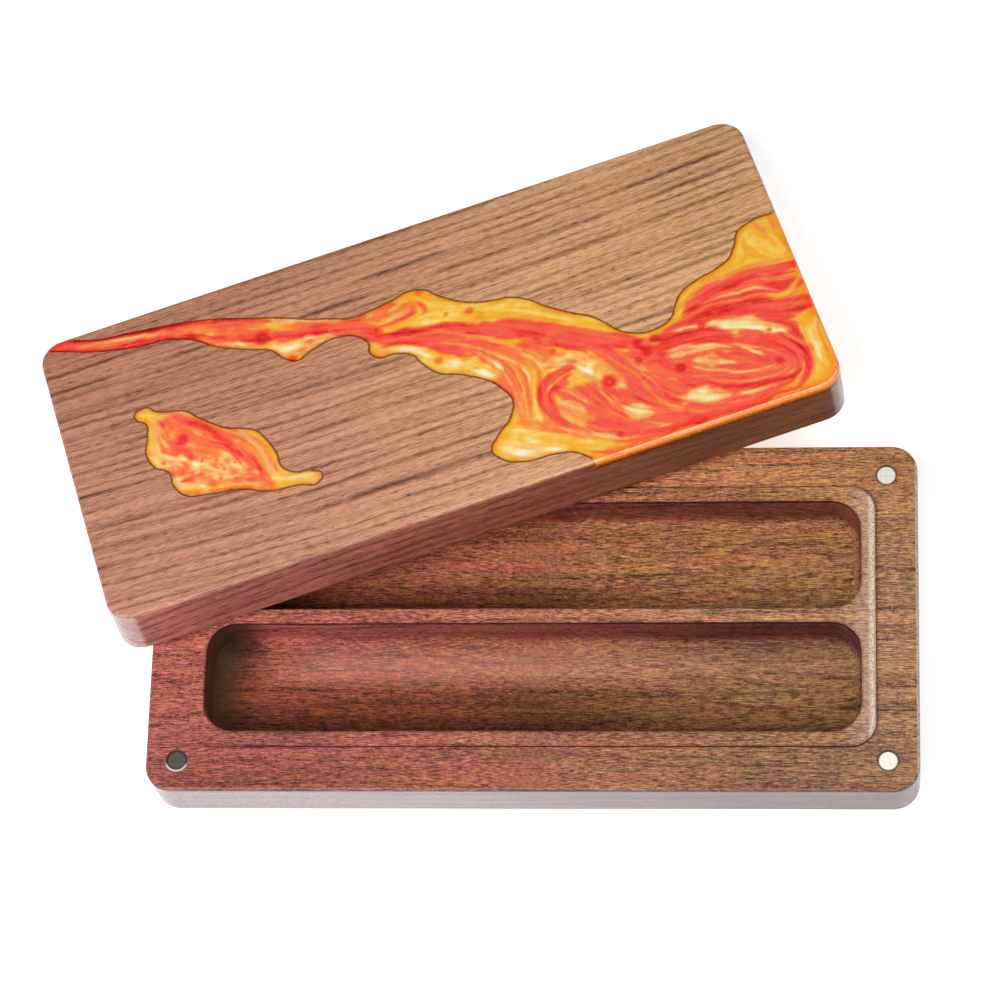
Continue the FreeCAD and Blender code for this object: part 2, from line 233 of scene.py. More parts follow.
    (ORANGE, 2.2, ((36, -13), (40, -17.6), (43.6, -24))),
    (HONEY, 1.0, ((25, -10.4), (28, -11.4), (30, -12.4))),
    (CREAM, 1.9, ((30.2, -12.8), (31.8, -11.8))),
    (CREAM, 1.1, ((32.6, -10.8), (34, -11.4))),
    (CREAM, 1.8, ((33.8, -14.4), (35.6, -16.2), (36.6, -18.2))),
    (GOLD, 1.2, ((37.8, -18.6), (38.4, -20.6))),
    (WHITE, 0.9, ((35.8, -16.8), (36.8, -18.6))),
    (ROSE, 1.0, ((29.4, -15), (31.6, -14.6), (33, -15.6))),
    (ORANGE, 0.5, ((31.4, -17.4), (33, -18.8))),
    (AMBER, 0.9, ((37.2, -23), (37.8, -21.8))),
    (ROSE, 1.3, ((39.6, -12), (44, -18.6), (46, -25.6), (48.6, -33))),
    (ORANGE, 0.5, ((42, -15), (46, -22), (49, -30), (53, -36), (58.4, -40))),
    (ORANGE, 0.5, ((44, -13.6), (47.6, -19), (51, -24))),
    (PEACH, 0.5, ((50.6, -24.6), (56.6, -29), (64, -32.6), (72, -35.4), (78.6, -36.6))),
    (ORANGE, 0.4, ((51, -22.6), (57, -27.6), (65, -31.6), (74, -34.4))),
    (PEACH, 0.5, ((46.6, -20), (49.6, -23))),
    (HONEY, 0.5, ((48.4, -15.8), (49.8, -16.4))),
    (HONEY, 0.6, ((53, -15.8), (54.4, -16.6))),
    (CRIMSON, 0.8, ((50.6, -14), (51.6, -14))),
    (CRIMSON, 0.8, ((52, -16.8), (52.8, -19), (50.6, -21))),
    (RED, 1.2, ((53, -20), (56, -27), (62, -33), (70, -36.6), (80, -38))),
    (CRIMSON, 0.5, ((54, -22.6), (58, -30.6), (66, -35), (75, -37.4), (82, -37.8))),
    (RED, 0.8, ((51, -27), (53.6, -34), (59, -38.4), (67, -40.4), (78, -41))),
    (PEACH, 0.45, ((46, -18), (49.4, -25), (52.6, -31), (58, -36.5), (65, -39.8), (74, -41))),
    (ORANGE, 0.45, ((48, -27), (51, -34.6), (57, -39.6), (66, -41.6), (76, -42))),
    # the curl at the left of the field
    (RED, 1.6, ((33, -15), (28, -15.6), (24.6, -18.4), (23.2, -23), (24, -29))),
    (ROSE, 1.7, ((30, -19), (25.6, -21.6), (24.6, -26), (26.6, -31.6))),
    (RED, 1.0, ((31, -16.8), (27.8, -19.8), (28, -22.4))),
    (CRIMSON, 0.5, ((26.4, -19.6), (28, -19.2), (28.8, -20.4))),
    (WHITE, 0.4, ((24.9, -20.4), (25.7, -18.8), (27.6, -18))),
    (HONEY, 0.6, ((27.2, -21.8), (27.8, -22))),
    (PEACH, 0.7, ((26.6, -24.6), (28.4, -25.6))),
    (FLAME, 0.8, ((31, -21), (33.4, -25), (35.6, -30))),
    (ORANGE, 0.5, ((32.6, -21), (35, -26), (38, -32), (42, -36.6))),
    (PEACH, 0.5, ((30.4, -22), (34, -27.4), (37, -33), (41, -37.2), (47, -40), (55, -41.2))),
    (PEACH, 0.45, ((36, -20), (38, -27), (41, -33.4), (45, -38), (50.6, -40.4))),
    (PEACH, 0.5, ((27, -30), (31, -34.6), (36, -39), (42, -41.6))),
    (PEACH, 0.5, ((28.6, -30), (32.6, -34.4), (36.6, -38))),
    (ROSE, 0.9, ((33, -22), (35.6, -30), (40, -36), (47, -40))),
    (RED, 0.4, ((34.4, -20), (37, -29), (41.4, -35), (48, -39.2))),
    (ORANGE, 0.6, ((36.8, -24), (38.8, -30), (43.4, -36.2))),
    (PEACH, 0.45, ((24, -31), (29, -35.2), (35, -39), (42, -41.6), (51, -42.6))),
    (HONEY, 0.4, ((39, -26), (40.4, -29.4))),
    (RED, 0.5, ((44, -25), (45, -29), (47, -33))),
    (PEACH, 3.0, ((27.6, -25), (29.6, -26.8), (31.6, -28.4))),
    (ORANGE, 0.8, ((28.2, -28.6), (30.6, -30.4), (33.4, -32.2))),
    (PEACH, 2.5, ((41.2, -31.4), (43, -33.4), (45.2, -35.4), (46.8, -36.8))),
    (HONEY, 0.9, ((42.4, -33.4), (44, -35), (45.2, -36))),
    # lenses and the long pale streak
    (PEACH, 2.3, ((55.6, -33.8), (59, -35), (63, -36.2), (67.4, -38))),
    (HONEY, 1.0, ((57, -34.6), (61, -36), (65.4, -37.2))),
    (CREAM, 1.2, ((57.4, -34.2), (58.6, -34.8))),
    (WHITE, 0.5, ((57.6, -34.3), (58.4, -34.7))),
    (PEACH, 0.5, ((57, -14), (62, -14.3), (67, -15.6), (71.6, -18))),
    (HONEY, 0.7, ((60, -14.4), (62.4, -14.8))),
    (PEACH, 2.3, ((68, -15.4), (73, -17), (78.4, -19.8), (83, -22.6), (86.6, -24.8))),
    (HONEY, 1.8, ((70.4, -16.2), (76, -18.4), (81, -21.4), (85.6, -24.2))),
    (CREAM, 1.4, ((72, -17.2), (76, -19), (80, -21.4), (84, -23.8))),
    (WHITE, 0.7, ((77.6, -20.6), (79.4, -21.6), (80.8, -22.4))),
    (WHITE, 0.5, ((84.4, -24), (86, -24.8))),
    (PEACH, 1.2, ((69.6, -38.4), (74, -39), (78.8, -40))),
    (HONEY, 0.6, ((71, -38.6), (75, -39.2))),
    # the oval swirl
    (PEACH, 1.7, ((56.4, -21.4), (59, -21.2), (63, -21.6))),
    (HONEY, 0.8, ((56, -19.8), (61, -20.4), (67, -22.2), (72, -24.8))),
    (PEACH, 0.7, ((60, -21), (64, -22.2), (69, -24.2))),
    (PEACH, 0.35, ((66, -21.4), (72, -23.8), (77.6, -26.6), (82, -30), (83.6, -33.4))),
    (PEACH, 0.35, ((83.6, -33), (82.8, -36), (78.6, -37.2), (72, -35.8), (65.6, -33.2))),
    (PEACH, 0.6, ((59.6, -25.4), (63, -28.6), (69, -31.4), (75, -33.2), (80.6, -33.8))),
    (ROSE, 0.6, ((57, -23.4), (60, -28), (67, -32.4), (76, -35.2), (81.4, -35.2))),
    (PEACH, 1.9, ((61.6, -24.8), (65, -26), (69, -27.8))),
    (ROSE, 1.0, ((70, -30.4), (75, -31.6), (81.4, -32.6))),
    (HONEY, 0.8, ((62, -25), (63.4, -25.8))),
    (PEACH, 0.6, ((67, -28), (69.6, -29), (71.4, -29.8))),
    (FLAME, 0.5, ((65.4, -25), (66.8, -26.4), (67, -28))),
    (FLAME, 0.3, ((66.6, -26.4), (68.6, -26))),
    (CREAM, 0.6, ((64.4, -26.6), (65, -25.6))),
    (RED, 0.6, ((60.4, -23.4), (66, -24.4), (72, -27.6), (77, -31.6))),
    (FLAME, 0.4, ((70, -27), (74, -29.6), (77.6, -32.4))),
    (CREAM, 0.6, ((73, -25.2), (75, -26.6), (78, -28.8), (79.2, -30.4))),
    (HONEY, 0.4, ((71, -23.4), (74, -25.2), (78.6, -27.4))),
    (CRIMSON, 0.8, ((69, -20), (76, -22.8), (82, -26.8), (85.4, -31), (85.6, -35))),
    (CRIMSON, 0.7, ((85.6, -35), (83.4, -38.4), (77, -38.8), (70, -37.4))),
    (ORANGE, 0.5, ((84.8, -27.4), (87.8, -33), (87.2, -38), (82.4, -41.2), (74, -41.8))),
    (PEACH, 0.3, ((78, -41.8), (83, -41), (86.4, -38.4))),
    (RED, 1.1, ((85.6, -26.6), (88, -32), (87.6, -38), (83, -41.6))),
    (ROSE, 0.7, ((83, -24.6), (85.8, -29.4), (86.4, -34.6), (84.4, -39))),
    # the right end
    (AMBER, 5.0, ((88, 8), (90, 4), (92, -0.6))),
    (AMBER, 2.8, ((84, 8), (82, 3.6), (78, -0.4), (70, -2.4), (65, -5), (62.6, -8.6))),
    (GOLD, 1.6, ((86.6, 4.4), (88.6, 2), (90.4, -0.6))),
    (GOLD, 0.9, ((84.6, 7), (86.4, 8.6))),
    (ORANGE, 0.9, ((89.4, 10), (90.2, 5.6))),
    (PEACH, 0.7, ((93, 9), (92.6, 6))),
    (ORANGE, 0.8, ((95, 10), (95, 2), (94.6, -4))),
    (ORANGE, 0.9, ((66, -5.8), (73, -3.4), (80, -2.6), (88, -3.2), (94, -4))),
    (RED, 2.4, ((64, -9.8), (70, -7), (78, -5.8), (86, -6.2), (95, -7))),
    (RED, 2.6, ((64, -11.6), (74, -10.2), (84, -10.6), (95, -12.4))),
    (ORANGE, 0.5, ((78, -4), (84, -4), (90, -5))),
    (ROSE, 0.8, ((74, -5), (82, -4.6), (90, -5.6))),
    (CRIMSON, 0.5, ((69, -8), (77, -6.6), (86, -7.4), (94, -9.4))),
    (PEACH, 0.7, ((68.6, -9.4), (76, -8.6), (82.6, -9.6), (88, -12))),
    (HONEY, 0.4, ((72, -9.1), (78, -8.9), (84.4, -10.8), (88.6, -12.6))),
    (PEACH, 0.3, ((70, -8.2), (77, -7.6), (84, -8.6))),
    (ORANGE, 0.5, ((61.6, -11.6), (69, -10.9), (77, -11.2), (85, -12.6), (89, -13.8))),
    (PEACH, 0.3, ((66, -11.2), (74, -10.9), (82, -11.8))),
    (FLAME, 0.5, ((80, -6.6), (87.6, -8.2), (92.4, -10.2))),
    (PEACH, 0.4, ((84, -6.2), (88, -7))),
    (RED, 1.4, ((60, -13), (68, -12.6), (77, -13.4), (85, -16), (93, -18.6))),
    (RED, 1.4, ((84, -18), (88, -20), (95, -20.6))),
    (AMBER, 0.7, ((85.4, -12.8), (89.4, -13.4), (93, -11.6), (95, -8.6))),
    (FLAME, 0.5, ((86.6, -14.6), (90.6, -15), (95, -12.4))),
    (ORANGE, 0.3, ((86, -16.4), (90.4, -16.8), (95, -14.4))),
    (ORANGE, 0.3, ((85.4, -18), (90.2, -18.6), (95, -16.6))),
    (AMBER, 3.0, ((96, -22.4), (92.8, -26), (92.2, -32), (92.4, -38), (90.4, -43))),
    (AMBER, 1.3, ((89.4, -22.8), (90.4, -25.6), (90.6, -30), (90.4, -36))),
    (GOLD, 1.2, ((93.4, -24.4), (91.4, -28), (91, -34), (91.8, -39))),
    (CREAM, 0.5, ((90.2, -29.4), (90.8, -34), (91.2, -37))),
    (GOLD, 0.5, ((87, -22.4), (90, -23.6))),
    (ORANGE, 0.5, ((87, -27), (89.2, -31), (89.4, -36), (88, -40.6))),
    (PEACH, 0.5, ((85.4, -26), (87, -28), (88.4, -31))),
    (ORANGE, 0.8, ((95, -20.6), (95.4, -30), (95, -38), (92, -43))),
    # along the front rim
    (RED, 0.8, ((48, -42.9), (60, -43.2), (74, -43), (84, -41.8))),
    (FLAME, 0.8, ((30, -41.4), (36, -43), (44, -43.6))),
    (RED, 0.5, ((60, -41), (70, -41.6), (80, -40.6), (86, -37.4))),
    (ORANGE, 1.0, ((34, -43.8), (46, -44.4), (60, -44.6), (76, -44.4), (88, -43))),
    (PEACH, 0.4, ((42, -42.8), (52, -43.6), (64, -43.8))),
)

POOL_STREAKS = (
    (AMBER, 3.0, ((-74, 13.4), (-72.4, 12.8), (-70, 11.4))),
    (GOLD, 1.0, ((-73.6, 13.2), (-71.8, 12.6))),
    (AMBER, 2.0, ((-72.6, 11), (-74, 6), (-75.2, 1), (-74, -2))),
    (GOLD, 0.9, ((-72.8, 9.6), (-73.8, 5.6), (-74.2, 2.6))),
    (FLAME, 4.4, ((-68, 9.4), (-63, 5.8), (-58, 0.4), (-53.6, -5), (-50.4, -11))),
    (FLAME, 2.4, ((-70, 4), (-69, 0), (-66, -1.6))),
    (ORANGE, 1.0, ((-64, 10.6), (-60, 6.6), (-56, 1.6), (-51.6, -1.6))),
    (RED, 1.3, ((-66, 9.4), (-62, 5.4), (-58.6, 0.8), (-54.6, -4), (-52.4, -9))),
    (ORANGE, 0.5, ((-64, 6), (-60, 1.6), (-56.4, -2.6), (-54, -7))),
    (PEACH, 0.8, ((-71, 8), (-70.4, 4), (-69, 1))),
    (RED, 0.6, ((-70.2, 9.8), (-69.4, 8.6), (-69.6, 7))),
    (PEACH, 0.6, ((-68.6, 7.6), (-68.8, 5), (-66.4, 5.6), (-66.6, 7.4))),
    (CRIMSON, 2.1, ((-66.4, 3.2), (-65.6, 1.2))),
    (DEEP, 0.9, ((-65.8, 2.6), (-65.2, 1.4))),
    (RED, 1.3, ((-69.6, -1.8), (-67.2, -1.2), (-65.6, -3), (-64.6, -5))),
    (CRIMSON, 0.5, ((-60, 0.4), (-56.4, -3), (-54.2, -7), (-53.6, -10))),
    (ORANGE, 1.3, ((-63, -2), (-58, -5.6), (-55.4, -9), (-55, -12))),
    (PEACH, 0.4, ((-64, -1), (-60.4, -3.4), (-57.6, -6))),
    (ORANGE, 1.0, ((-53, -2.4), (-49.6, -6.6), (-48.2, -12), (-48.2, -17.6))),
    (RED, 0.6, ((-52.6, -5), (-50.2, -9), (-49.2, -13.6), (-49.6, -18))),
    (RED, 0.8, ((-50.4, -11.6), (-49.6, -13.6))),
    (PEACH, 0.4, ((-50.4, -3.6), (-47.6, -8), (-46.6, -13), (-46.8, -18))),
    (FLAME, 0.4, ((-48.4, -4), (-46, -8.6), (-45.2, -13), (-45.4, -17))),
    (PEACH, 0.8, ((-53.6, -2.6), (-52.4, -4))),
    (AMBER, 1.3, ((-48.6, -2), (-46, -6), (-44.8, -10.6), (-44.6, -15))),
    (HONEY, 2.1, ((-73.6, -0.6), (-72, -2.2), (-69.6, -3.8))),
    (CREAM, 1.3, ((-73.2, -0.8), (-72.4, -1.4))),
    (CREAM, 1.9, ((-69, -3.6), (-67.6, -4.4), (-66.8, -5.4))),
    (CREAM, 1.5, ((-64.4, -6.4), (-61.6, -7.8), (-59, -9))),
    (WHITE, 0.7, ((-61.6, -7.6), (-59.8, -8.6))),
    (HONEY, 2.3, ((-60.4, -10), (-58.6, -12.6), (-55, -12), (-53, -13))),
    (CREAM, 0.9, ((-58.6, -14), (-57, -14.4))),
    (CREAM, 0.7, ((-57, -10.6), (-55.4, -11))),
    (CREAM, 0.6, ((-54, -12.4), (-53, -12.8))),
    (PEACH, 1.0, ((-60, -11.4), (-59.4, -12.4))),
    (HONEY, 0.9, ((-57.4, -6), (-55.8, -7), (-55.4, -8.2))),
    (PEACH, 1.7, ((-70.6, -7.4), (-69.4, -11), (-66, -13.4), (-61, -15))),
    (RED, 0.8, ((-70.8, -6.6), (-69.6, -8.2), (-67.6, -7.4))),
    (HONEY, 0.5, ((-71, -9.8), (-69, -9.2), (-67, -9))),
    (RED, 1.1, ((-68.6, -10.4), (-65, -10.6), (-62, -11.4))),
    (CRIMSON, 0.4, ((-67.4, -10.4), (-64.6, -10.4))),
    (AMBER, 1.2, ((-70, -12.4), (-64, -15.4), (-58, -16.6), (-53, -18.4))),
    (ORANGE, 0.8, ((-69, -14), (-64, -15.6), (-59, -16.8), (-54, -18), (-50, -20))),
    (FLAME, 1.6, ((-54, -14.8), (-51.4, -15.8), (-50, -17.4))),
    (RED, 0.7, ((-53, -15.6), (-51.4, -16.8))),
    (WHITE, 0.5, ((-52, -14.4), (-50.6, -14.5), (-49.8, -15.4))),
    (ORANGE, 1.4, ((-51, -19.4), (-48.6, -20.8), (-45.6, -20.6))),
    (GOLD, 3.2, ((-46.4, -18.4), (-42, -20.6), (-36.6, -21.4))),
    (CREAM, 1.0, ((-45, -18.8), (-41, -20.4), (-37.4, -21.2))),
    (AMBER, 1.0, ((-45, -16.6), (-44, -19), (-41, -19.4))),
    (CREAM, 0.5, ((-47.4, -18.4), (-45.4, -19.6), (-42, -20.4))),
)

# Small mottles: (middle, half length, half width, how many, lightest and darkest tone), mm
RIVER_MOTTLES = (
    ((11, -3.6), 5.0, 3.6, 34, 0.90, 0.24), ((33.6, -14), 6.0, 5.0, 30, 0.95, 0.34),
    ((-46, 30), 9.0, 3.6, 40, 0.66, 0.16), ((-31, 18.4), 5.0, 2.4, 16, 0.90, 0.60),
    ((20, 9), 8.0, 2.6, 16, 0.84, 0.64), ((50, -17), 5.0, 4.0, 22, 0.70, 0.12),
    ((57, -24), 6.0, 4.0, 14, 0.62, 0.20), ((66, -26.4), 5.0, 2.6, 22, 0.88, 0.40),
    ((79, -21.6), 6.0, 2.6, 18, 0.99, 0.60), ((60, -35.6), 5.0, 1.8, 12, 0.98, 0.60),
    ((44, -34), 3.6, 2.6, 10, 0.80, 0.55), ((28, -5), 6.0, 3.0, 14, 0.60, 0.14),
    ((26, -20), 3.0, 3.0, 8, 0.70, 0.16), ((88, 4), 5.0, 5.0, 14, 0.84, 0.62),
    ((2, -0.6), 5.0, 2.6, 14, 0.93, 0.66), ((14, -33), 6.0, 3.0, 14, 0.93, 0.74))
POOL_MOTTLES = (
    ((-59, -10.4), 7.5, 5.0, 130, 0.97, 0.16), ((-68, -6), 5.0, 4.0, 46, 0.93, 0.24),
    ((-66, 3), 5.0, 6.0, 26, 0.66, 0.20), ((-53, -13), 4.0, 4.0, 34, 0.95, 0.20),
    ((-62, -14), 6.0, 2.4, 34, 0.86, 0.28), ((-52, -6), 3.0, 5.0, 14, 0.66, 0.26))

# Bubbles under the surface: (x, y, radius, strength), mm
RIVER_BUBBLES = (
    (-56.2, 32.6, 0.9, 0.7), (-38.8, 24.6, 1.6, 1.0), (-49.2, 34.6, 0.6, 0.9),
    (7.4, 13.2, 0.5, 0.45), (13.4, 12.0, 0.8, 0.5), (1.9, 0.1, 0.8, 0.4),
    (40.2, -22.8, 1.5, 1.1), (50.0, -14.0, 0.9, 0.9), (54.4, -14.6, 0.9, 0.9),
    (51.6, -18.2, 0.9, 0.9), (49.0, -19.4, 0.8, 0.8), (58.0, -25.7, 1.1, 1.1),
    (66.6, -15.4, 0.8, 0.9), (48.4, -25.1, 0.5, 0.6), (38.2, -38.9, 0.7, 0.8),
    (81.6, -33.0, 0.9, 0.9), (82.0, -23.2, 0.5, 0.6), (29.6, -8.4, 0.6, 0.7),
    (27.2, -19.6, 0.8, 0.8), (-33.0, 15.2, 0.9, 0.8), (55.4, -38.6, 0.5, 0.5),
    (31.0, -7.0, 0.5, 0.5), (2.6, 22.4, 0.7, 0.5), (-10.6, 15.4, 0.5, 0.8))
POOL_BUBBLES = (
    (-65.5, 1.8, 1.3, 0.7), (-62.4, -6.2, 0.3, 0.5), (-58.8, -7.4, 0.3, 0.6),
    (-57.6, -10.8, 0.3, 0.6), (-59.2, -13.2, 0.35, 0.7), (-54.6, -9.8, 0.3, 0.6),
    (-55.4, -14.6, 0.3, 0.6), (-65.6, -8.8, 0.35, 0.5), (-71.8, -3.2, 0.4, 0.6))


# ---------------------------------------------------------------- settings

def colour_setting(name, description, default):
    """A colour that the user can change, as linear red, green and blue."""
    return FloatVectorProperty(name=name, description=description, default=default,
                               subtype="COLOR", size=3, min=0.0, max=1.0)


def share_setting(name, description, default):
    """A number from 0 to 1 that the user can change."""
    return FloatProperty(name=name, description=description, default=default,
                         min=0.0, max=1.0, subtype="FACTOR")


def strength_setting(name, description, default, highest, unit="NONE"):
    """A number from 0 upwards that the user can change."""
    return FloatProperty(name=name, description=description, default=default,
                         min=0.0, max=highest, unit=unit)


def length_setting(name, description, default, shortest):
    """A short length that the user can change."""
    return FloatProperty(name=name, description=description, default=default,
                         min=shortest, max=3 * MM, unit="LENGTH", precision=5)


class DiceBoxWood(bpy.types.PropertyGroup):
    """Colours and coat of the two boards."""
    lid_pale: colour_setting("Lid, pale wood", "Wood between the lid's dark lines",
                             (0.84, 0.470, 0.262))
    lid_middle: colour_setting("Lid, middle wood", "Shaded wood beside the lid's lines",
                               (0.42, 0.200, 0.105))
    lid_dark: colour_setting("Lid, dark lines", "Growth lines of the lid",
                             (0.085, 0.030, 0.017))
    base_red: colour_setting("Base, red wood", "Wood at the base's left end",
                             (0.56, 0.150, 0.125))
    base_brown: colour_setting("Base, brown wood", "Wood at the base's right end",
                               (0.50, 0.262, 0.128))
    base_dark: colour_setting("Base, dark pores", "Short dark pores of the base",
                              (0.085, 0.020, 0.014))
    coat: share_setting("Coat", "Strength of the clear coat on the tops", 0.08)
    side_coat: share_setting("Side coat", "Strength of the coat on the sides", 0.85)
    coat_roughness: share_setting("Coat roughness", "Blur of the coat's gloss", 0.17)


class DiceBoxResin(bpy.types.PropertyGroup):
    """Marbling of the resin inlays."""
    spacing: length_setting("Spacing", "Distance between points of the top",
                            0.35 * MM, 0.2 * MM)
    seed: IntProperty(name="Seed", description="Start of the fine streaks' random numbers",
                      default=7, min=0)
    streaks: share_setting("Fine streaks", "Strength of the fine streaks", 0.042)
    edge: length_setting("Dark edge", "Width of the dark edge at the wood", 0.7 * MM, 0.0)


class DiceBoxStudio(bpy.types.PropertyGroup):
    """Floor, light and camera."""
    lens: FloatProperty(name="Lens", description="Focal length on a 36 mm sensor",
                        default=140.38, min=10.0, max=500.0, unit="CAMERA")
    floor_glow: strength_setting("Floor glow", "Light that the floor gives", 0.62, 10.0)
    sky: strength_setting("Surroundings", "Strength of the light all round", 0.34, 10.0)
    softbox: strength_setting("Softbox", "Power of the softbox above the right",
                              1.4, 500.0, "POWER")
    fill: strength_setting("Front light", "Power of the light in front on the left",
                           18.0, 500.0, "POWER")


# ---------------------------------------------------------------- the lid's own frame

def lid_frame():
    """Matrix from the lid's own frame to the row frame, in metres.

    Its origin is the centre of the lid's underside, its X runs along the lid and its Z
    out of the lid's top.
    """
    centres = {}
    for corner in CORNERS:
        low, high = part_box("lid_magnet_" + corner)
        centres[corner] = (low + high) / 2
    along = (centres["front_right"] - centres["front_left"]).normalized()
    across = (centres["back_left"] - centres["front_left"]).normalized()
    up = along.cross(across).normalized()
    turn = Matrix((along, up.cross(along), up)).transposed()
    local = [turn.transposed() @ v.co for v in NODES["lid_block"].data.vertices]
    low = Vector(min(p[axis] for p in local) for axis in range(3))
    high = Vector(max(p[axis] for p in local) for axis in range(3))
    origin = turn @ Vector(((low.x + high.x) / 2, (low.y + high.y) / 2, low.z))
    return Matrix.Translation(origin) @ turn.to_4x4()


def half_sizes():
    """Half length and half width of the lid in mm."""
    inverse = LID.inverted()
    local = [inverse @ v.co for v in NODES["lid_block"].data.vertices]
    return (max(p.x for p in local) / MM, max(p.y for p in local) / MM)


def magnet_reach(part):
    """Distance in mm of a block's magnets from its middle, along and across it."""
    low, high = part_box(part + "_magnet_front_left")
    middle = (low + high) / 2
    if part == "lid":
        middle = LID.inverted() @ middle
    return abs(middle.x) / MM, abs(middle.y) / MM


LID = lid_frame()
HALF_LENGTH, HALF_WIDTH = half_sizes()      # both blocks have the same outline, in mm
CORNER_RADIUS = 6.5


# ---------------------------------------------------------------- node helpers

class Number:
    """A number that a node gives, with the sums that the materials do on it."""

    def __init__(self, nodes, socket):
        self.nodes, self.socket = nodes, socket

    def calc(self, operation, *others):
        """Result of a Math node on this number and the others."""
        made = self.nodes.node("Math", dict(enumerate((self, *others))), operation=operation)
        return Number(self.nodes, made.outputs[0])

    def __add__(self, other):
        return self.calc("ADD", other)

    def __sub__(self, other):
        return self.calc("SUBTRACT", other)

    def __rsub__(self, other):
        return self * -1.0 + other

    def __mul__(self, other):
        return self.calc("MULTIPLY", other)

    __radd__, __rmul__ = __add__, __mul__

    def __abs__(self):
        return self.calc("ABSOLUTE")

    def at_least(self, other):
        """The greater of two numbers."""
        return self.calc("MAXIMUM", other)

    def at_most(self, other):
        """The smaller of two numbers."""
        return self.calc("MINIMUM", other)

    def sway(self, amount):
        """How far a noise is from its middle, times the amount."""
        return (self - 0.5) * amount

    def between(self, low, high, start=0.0, end=1.0):
        """Goes softly from start to end while the number goes from low to high."""
        made = self.nodes.node("MapRange", {0: self, 1: low, 2: high, 3: start, 4: end},
                               interpolation_type="SMOOTHSTEP")
        return Number(self.nodes, made.outputs[0])

    def fade(self, low, high, start=1.0):
        """Goes softly from start to 0 while the number goes from low to high."""
        return self.between(low, high, start, 0.0)

    def share(self, low, high):
        """Place of the number between low and high, from 0 to 1."""
        made = self.nodes.node("MapRange", {0: self, 1: low, 2: high})
        return Number(self.nodes, made.outputs[0])


class Nodes:
    """A node tree, with short calls that add its nodes and link them.

    Colours are three linear numbers or the output of a node.
    """

    def __init__(self, tree):
        self.tree = tree
        self.tree.nodes.clear()

    def node(self, kind, inputs=None, **settings):
        """Adds a node and feeds its inputs, by name or by number."""
        made = self.tree.nodes.new("ShaderNode" + kind)
        for key, value in settings.items():
            setattr(made, key, value)
        for key, value in (inputs or {}).items():
            self.feed(made.inputs[key], value)
        return made

    def feed(self, socket, value):
        """Links an input to what gives its value, or sets the value itself."""
        if isinstance(value, Number):
            value = value.socket
        if isinstance(value, bpy.types.NodeSocket):
            self.tree.links.new(value, socket)
        elif socket.type == "RGBA":
            socket.default_value = (*value, 1.0)
        else:
            socket.default_value = value

    def axes(self, vector):
        """The three numbers of a vector."""
        return [Number(self, part) for part in self.node("SeparateXYZ", {0: vector}).outputs]

    def vector(self, *numbers):
        """Vector of three numbers."""
        return self.node("CombineXYZ", dict(enumerate(numbers))).outputs[0]

    def mix(self, amount, first, second, blend="MIX"):
        """Mix of two colours."""
        made = self.node("Mix", {0: amount, 6: first, 7: second},
                         data_type="RGBA", blend_type=blend)
        return made.outputs[2]

    def tint(self, colour, by, amount=1.0):
        """Colour multiplied by another one, as far as the amount goes."""
        return self.mix(amount, colour, by, "MULTIPLY")

    def ramp(self, place, stops):
        """Colour band; stops are (place, colour)."""
        made = self.node("ValToRGB", {0: place})
        elements = made.color_ramp.elements
        while len(elements) < len(stops):
            elements.new(1.0)
        for element, (position, colour) in zip(elements, stops):
            element.position = position
            element.color = (*colour, 1.0)
        return made.outputs[0]

    def greys(self, place, stops):
        """Number on straight lines between stops of (place, number)."""
        return Number(self, self.ramp(place, [(at, (grey,) * 3) for at, grey in stops]))


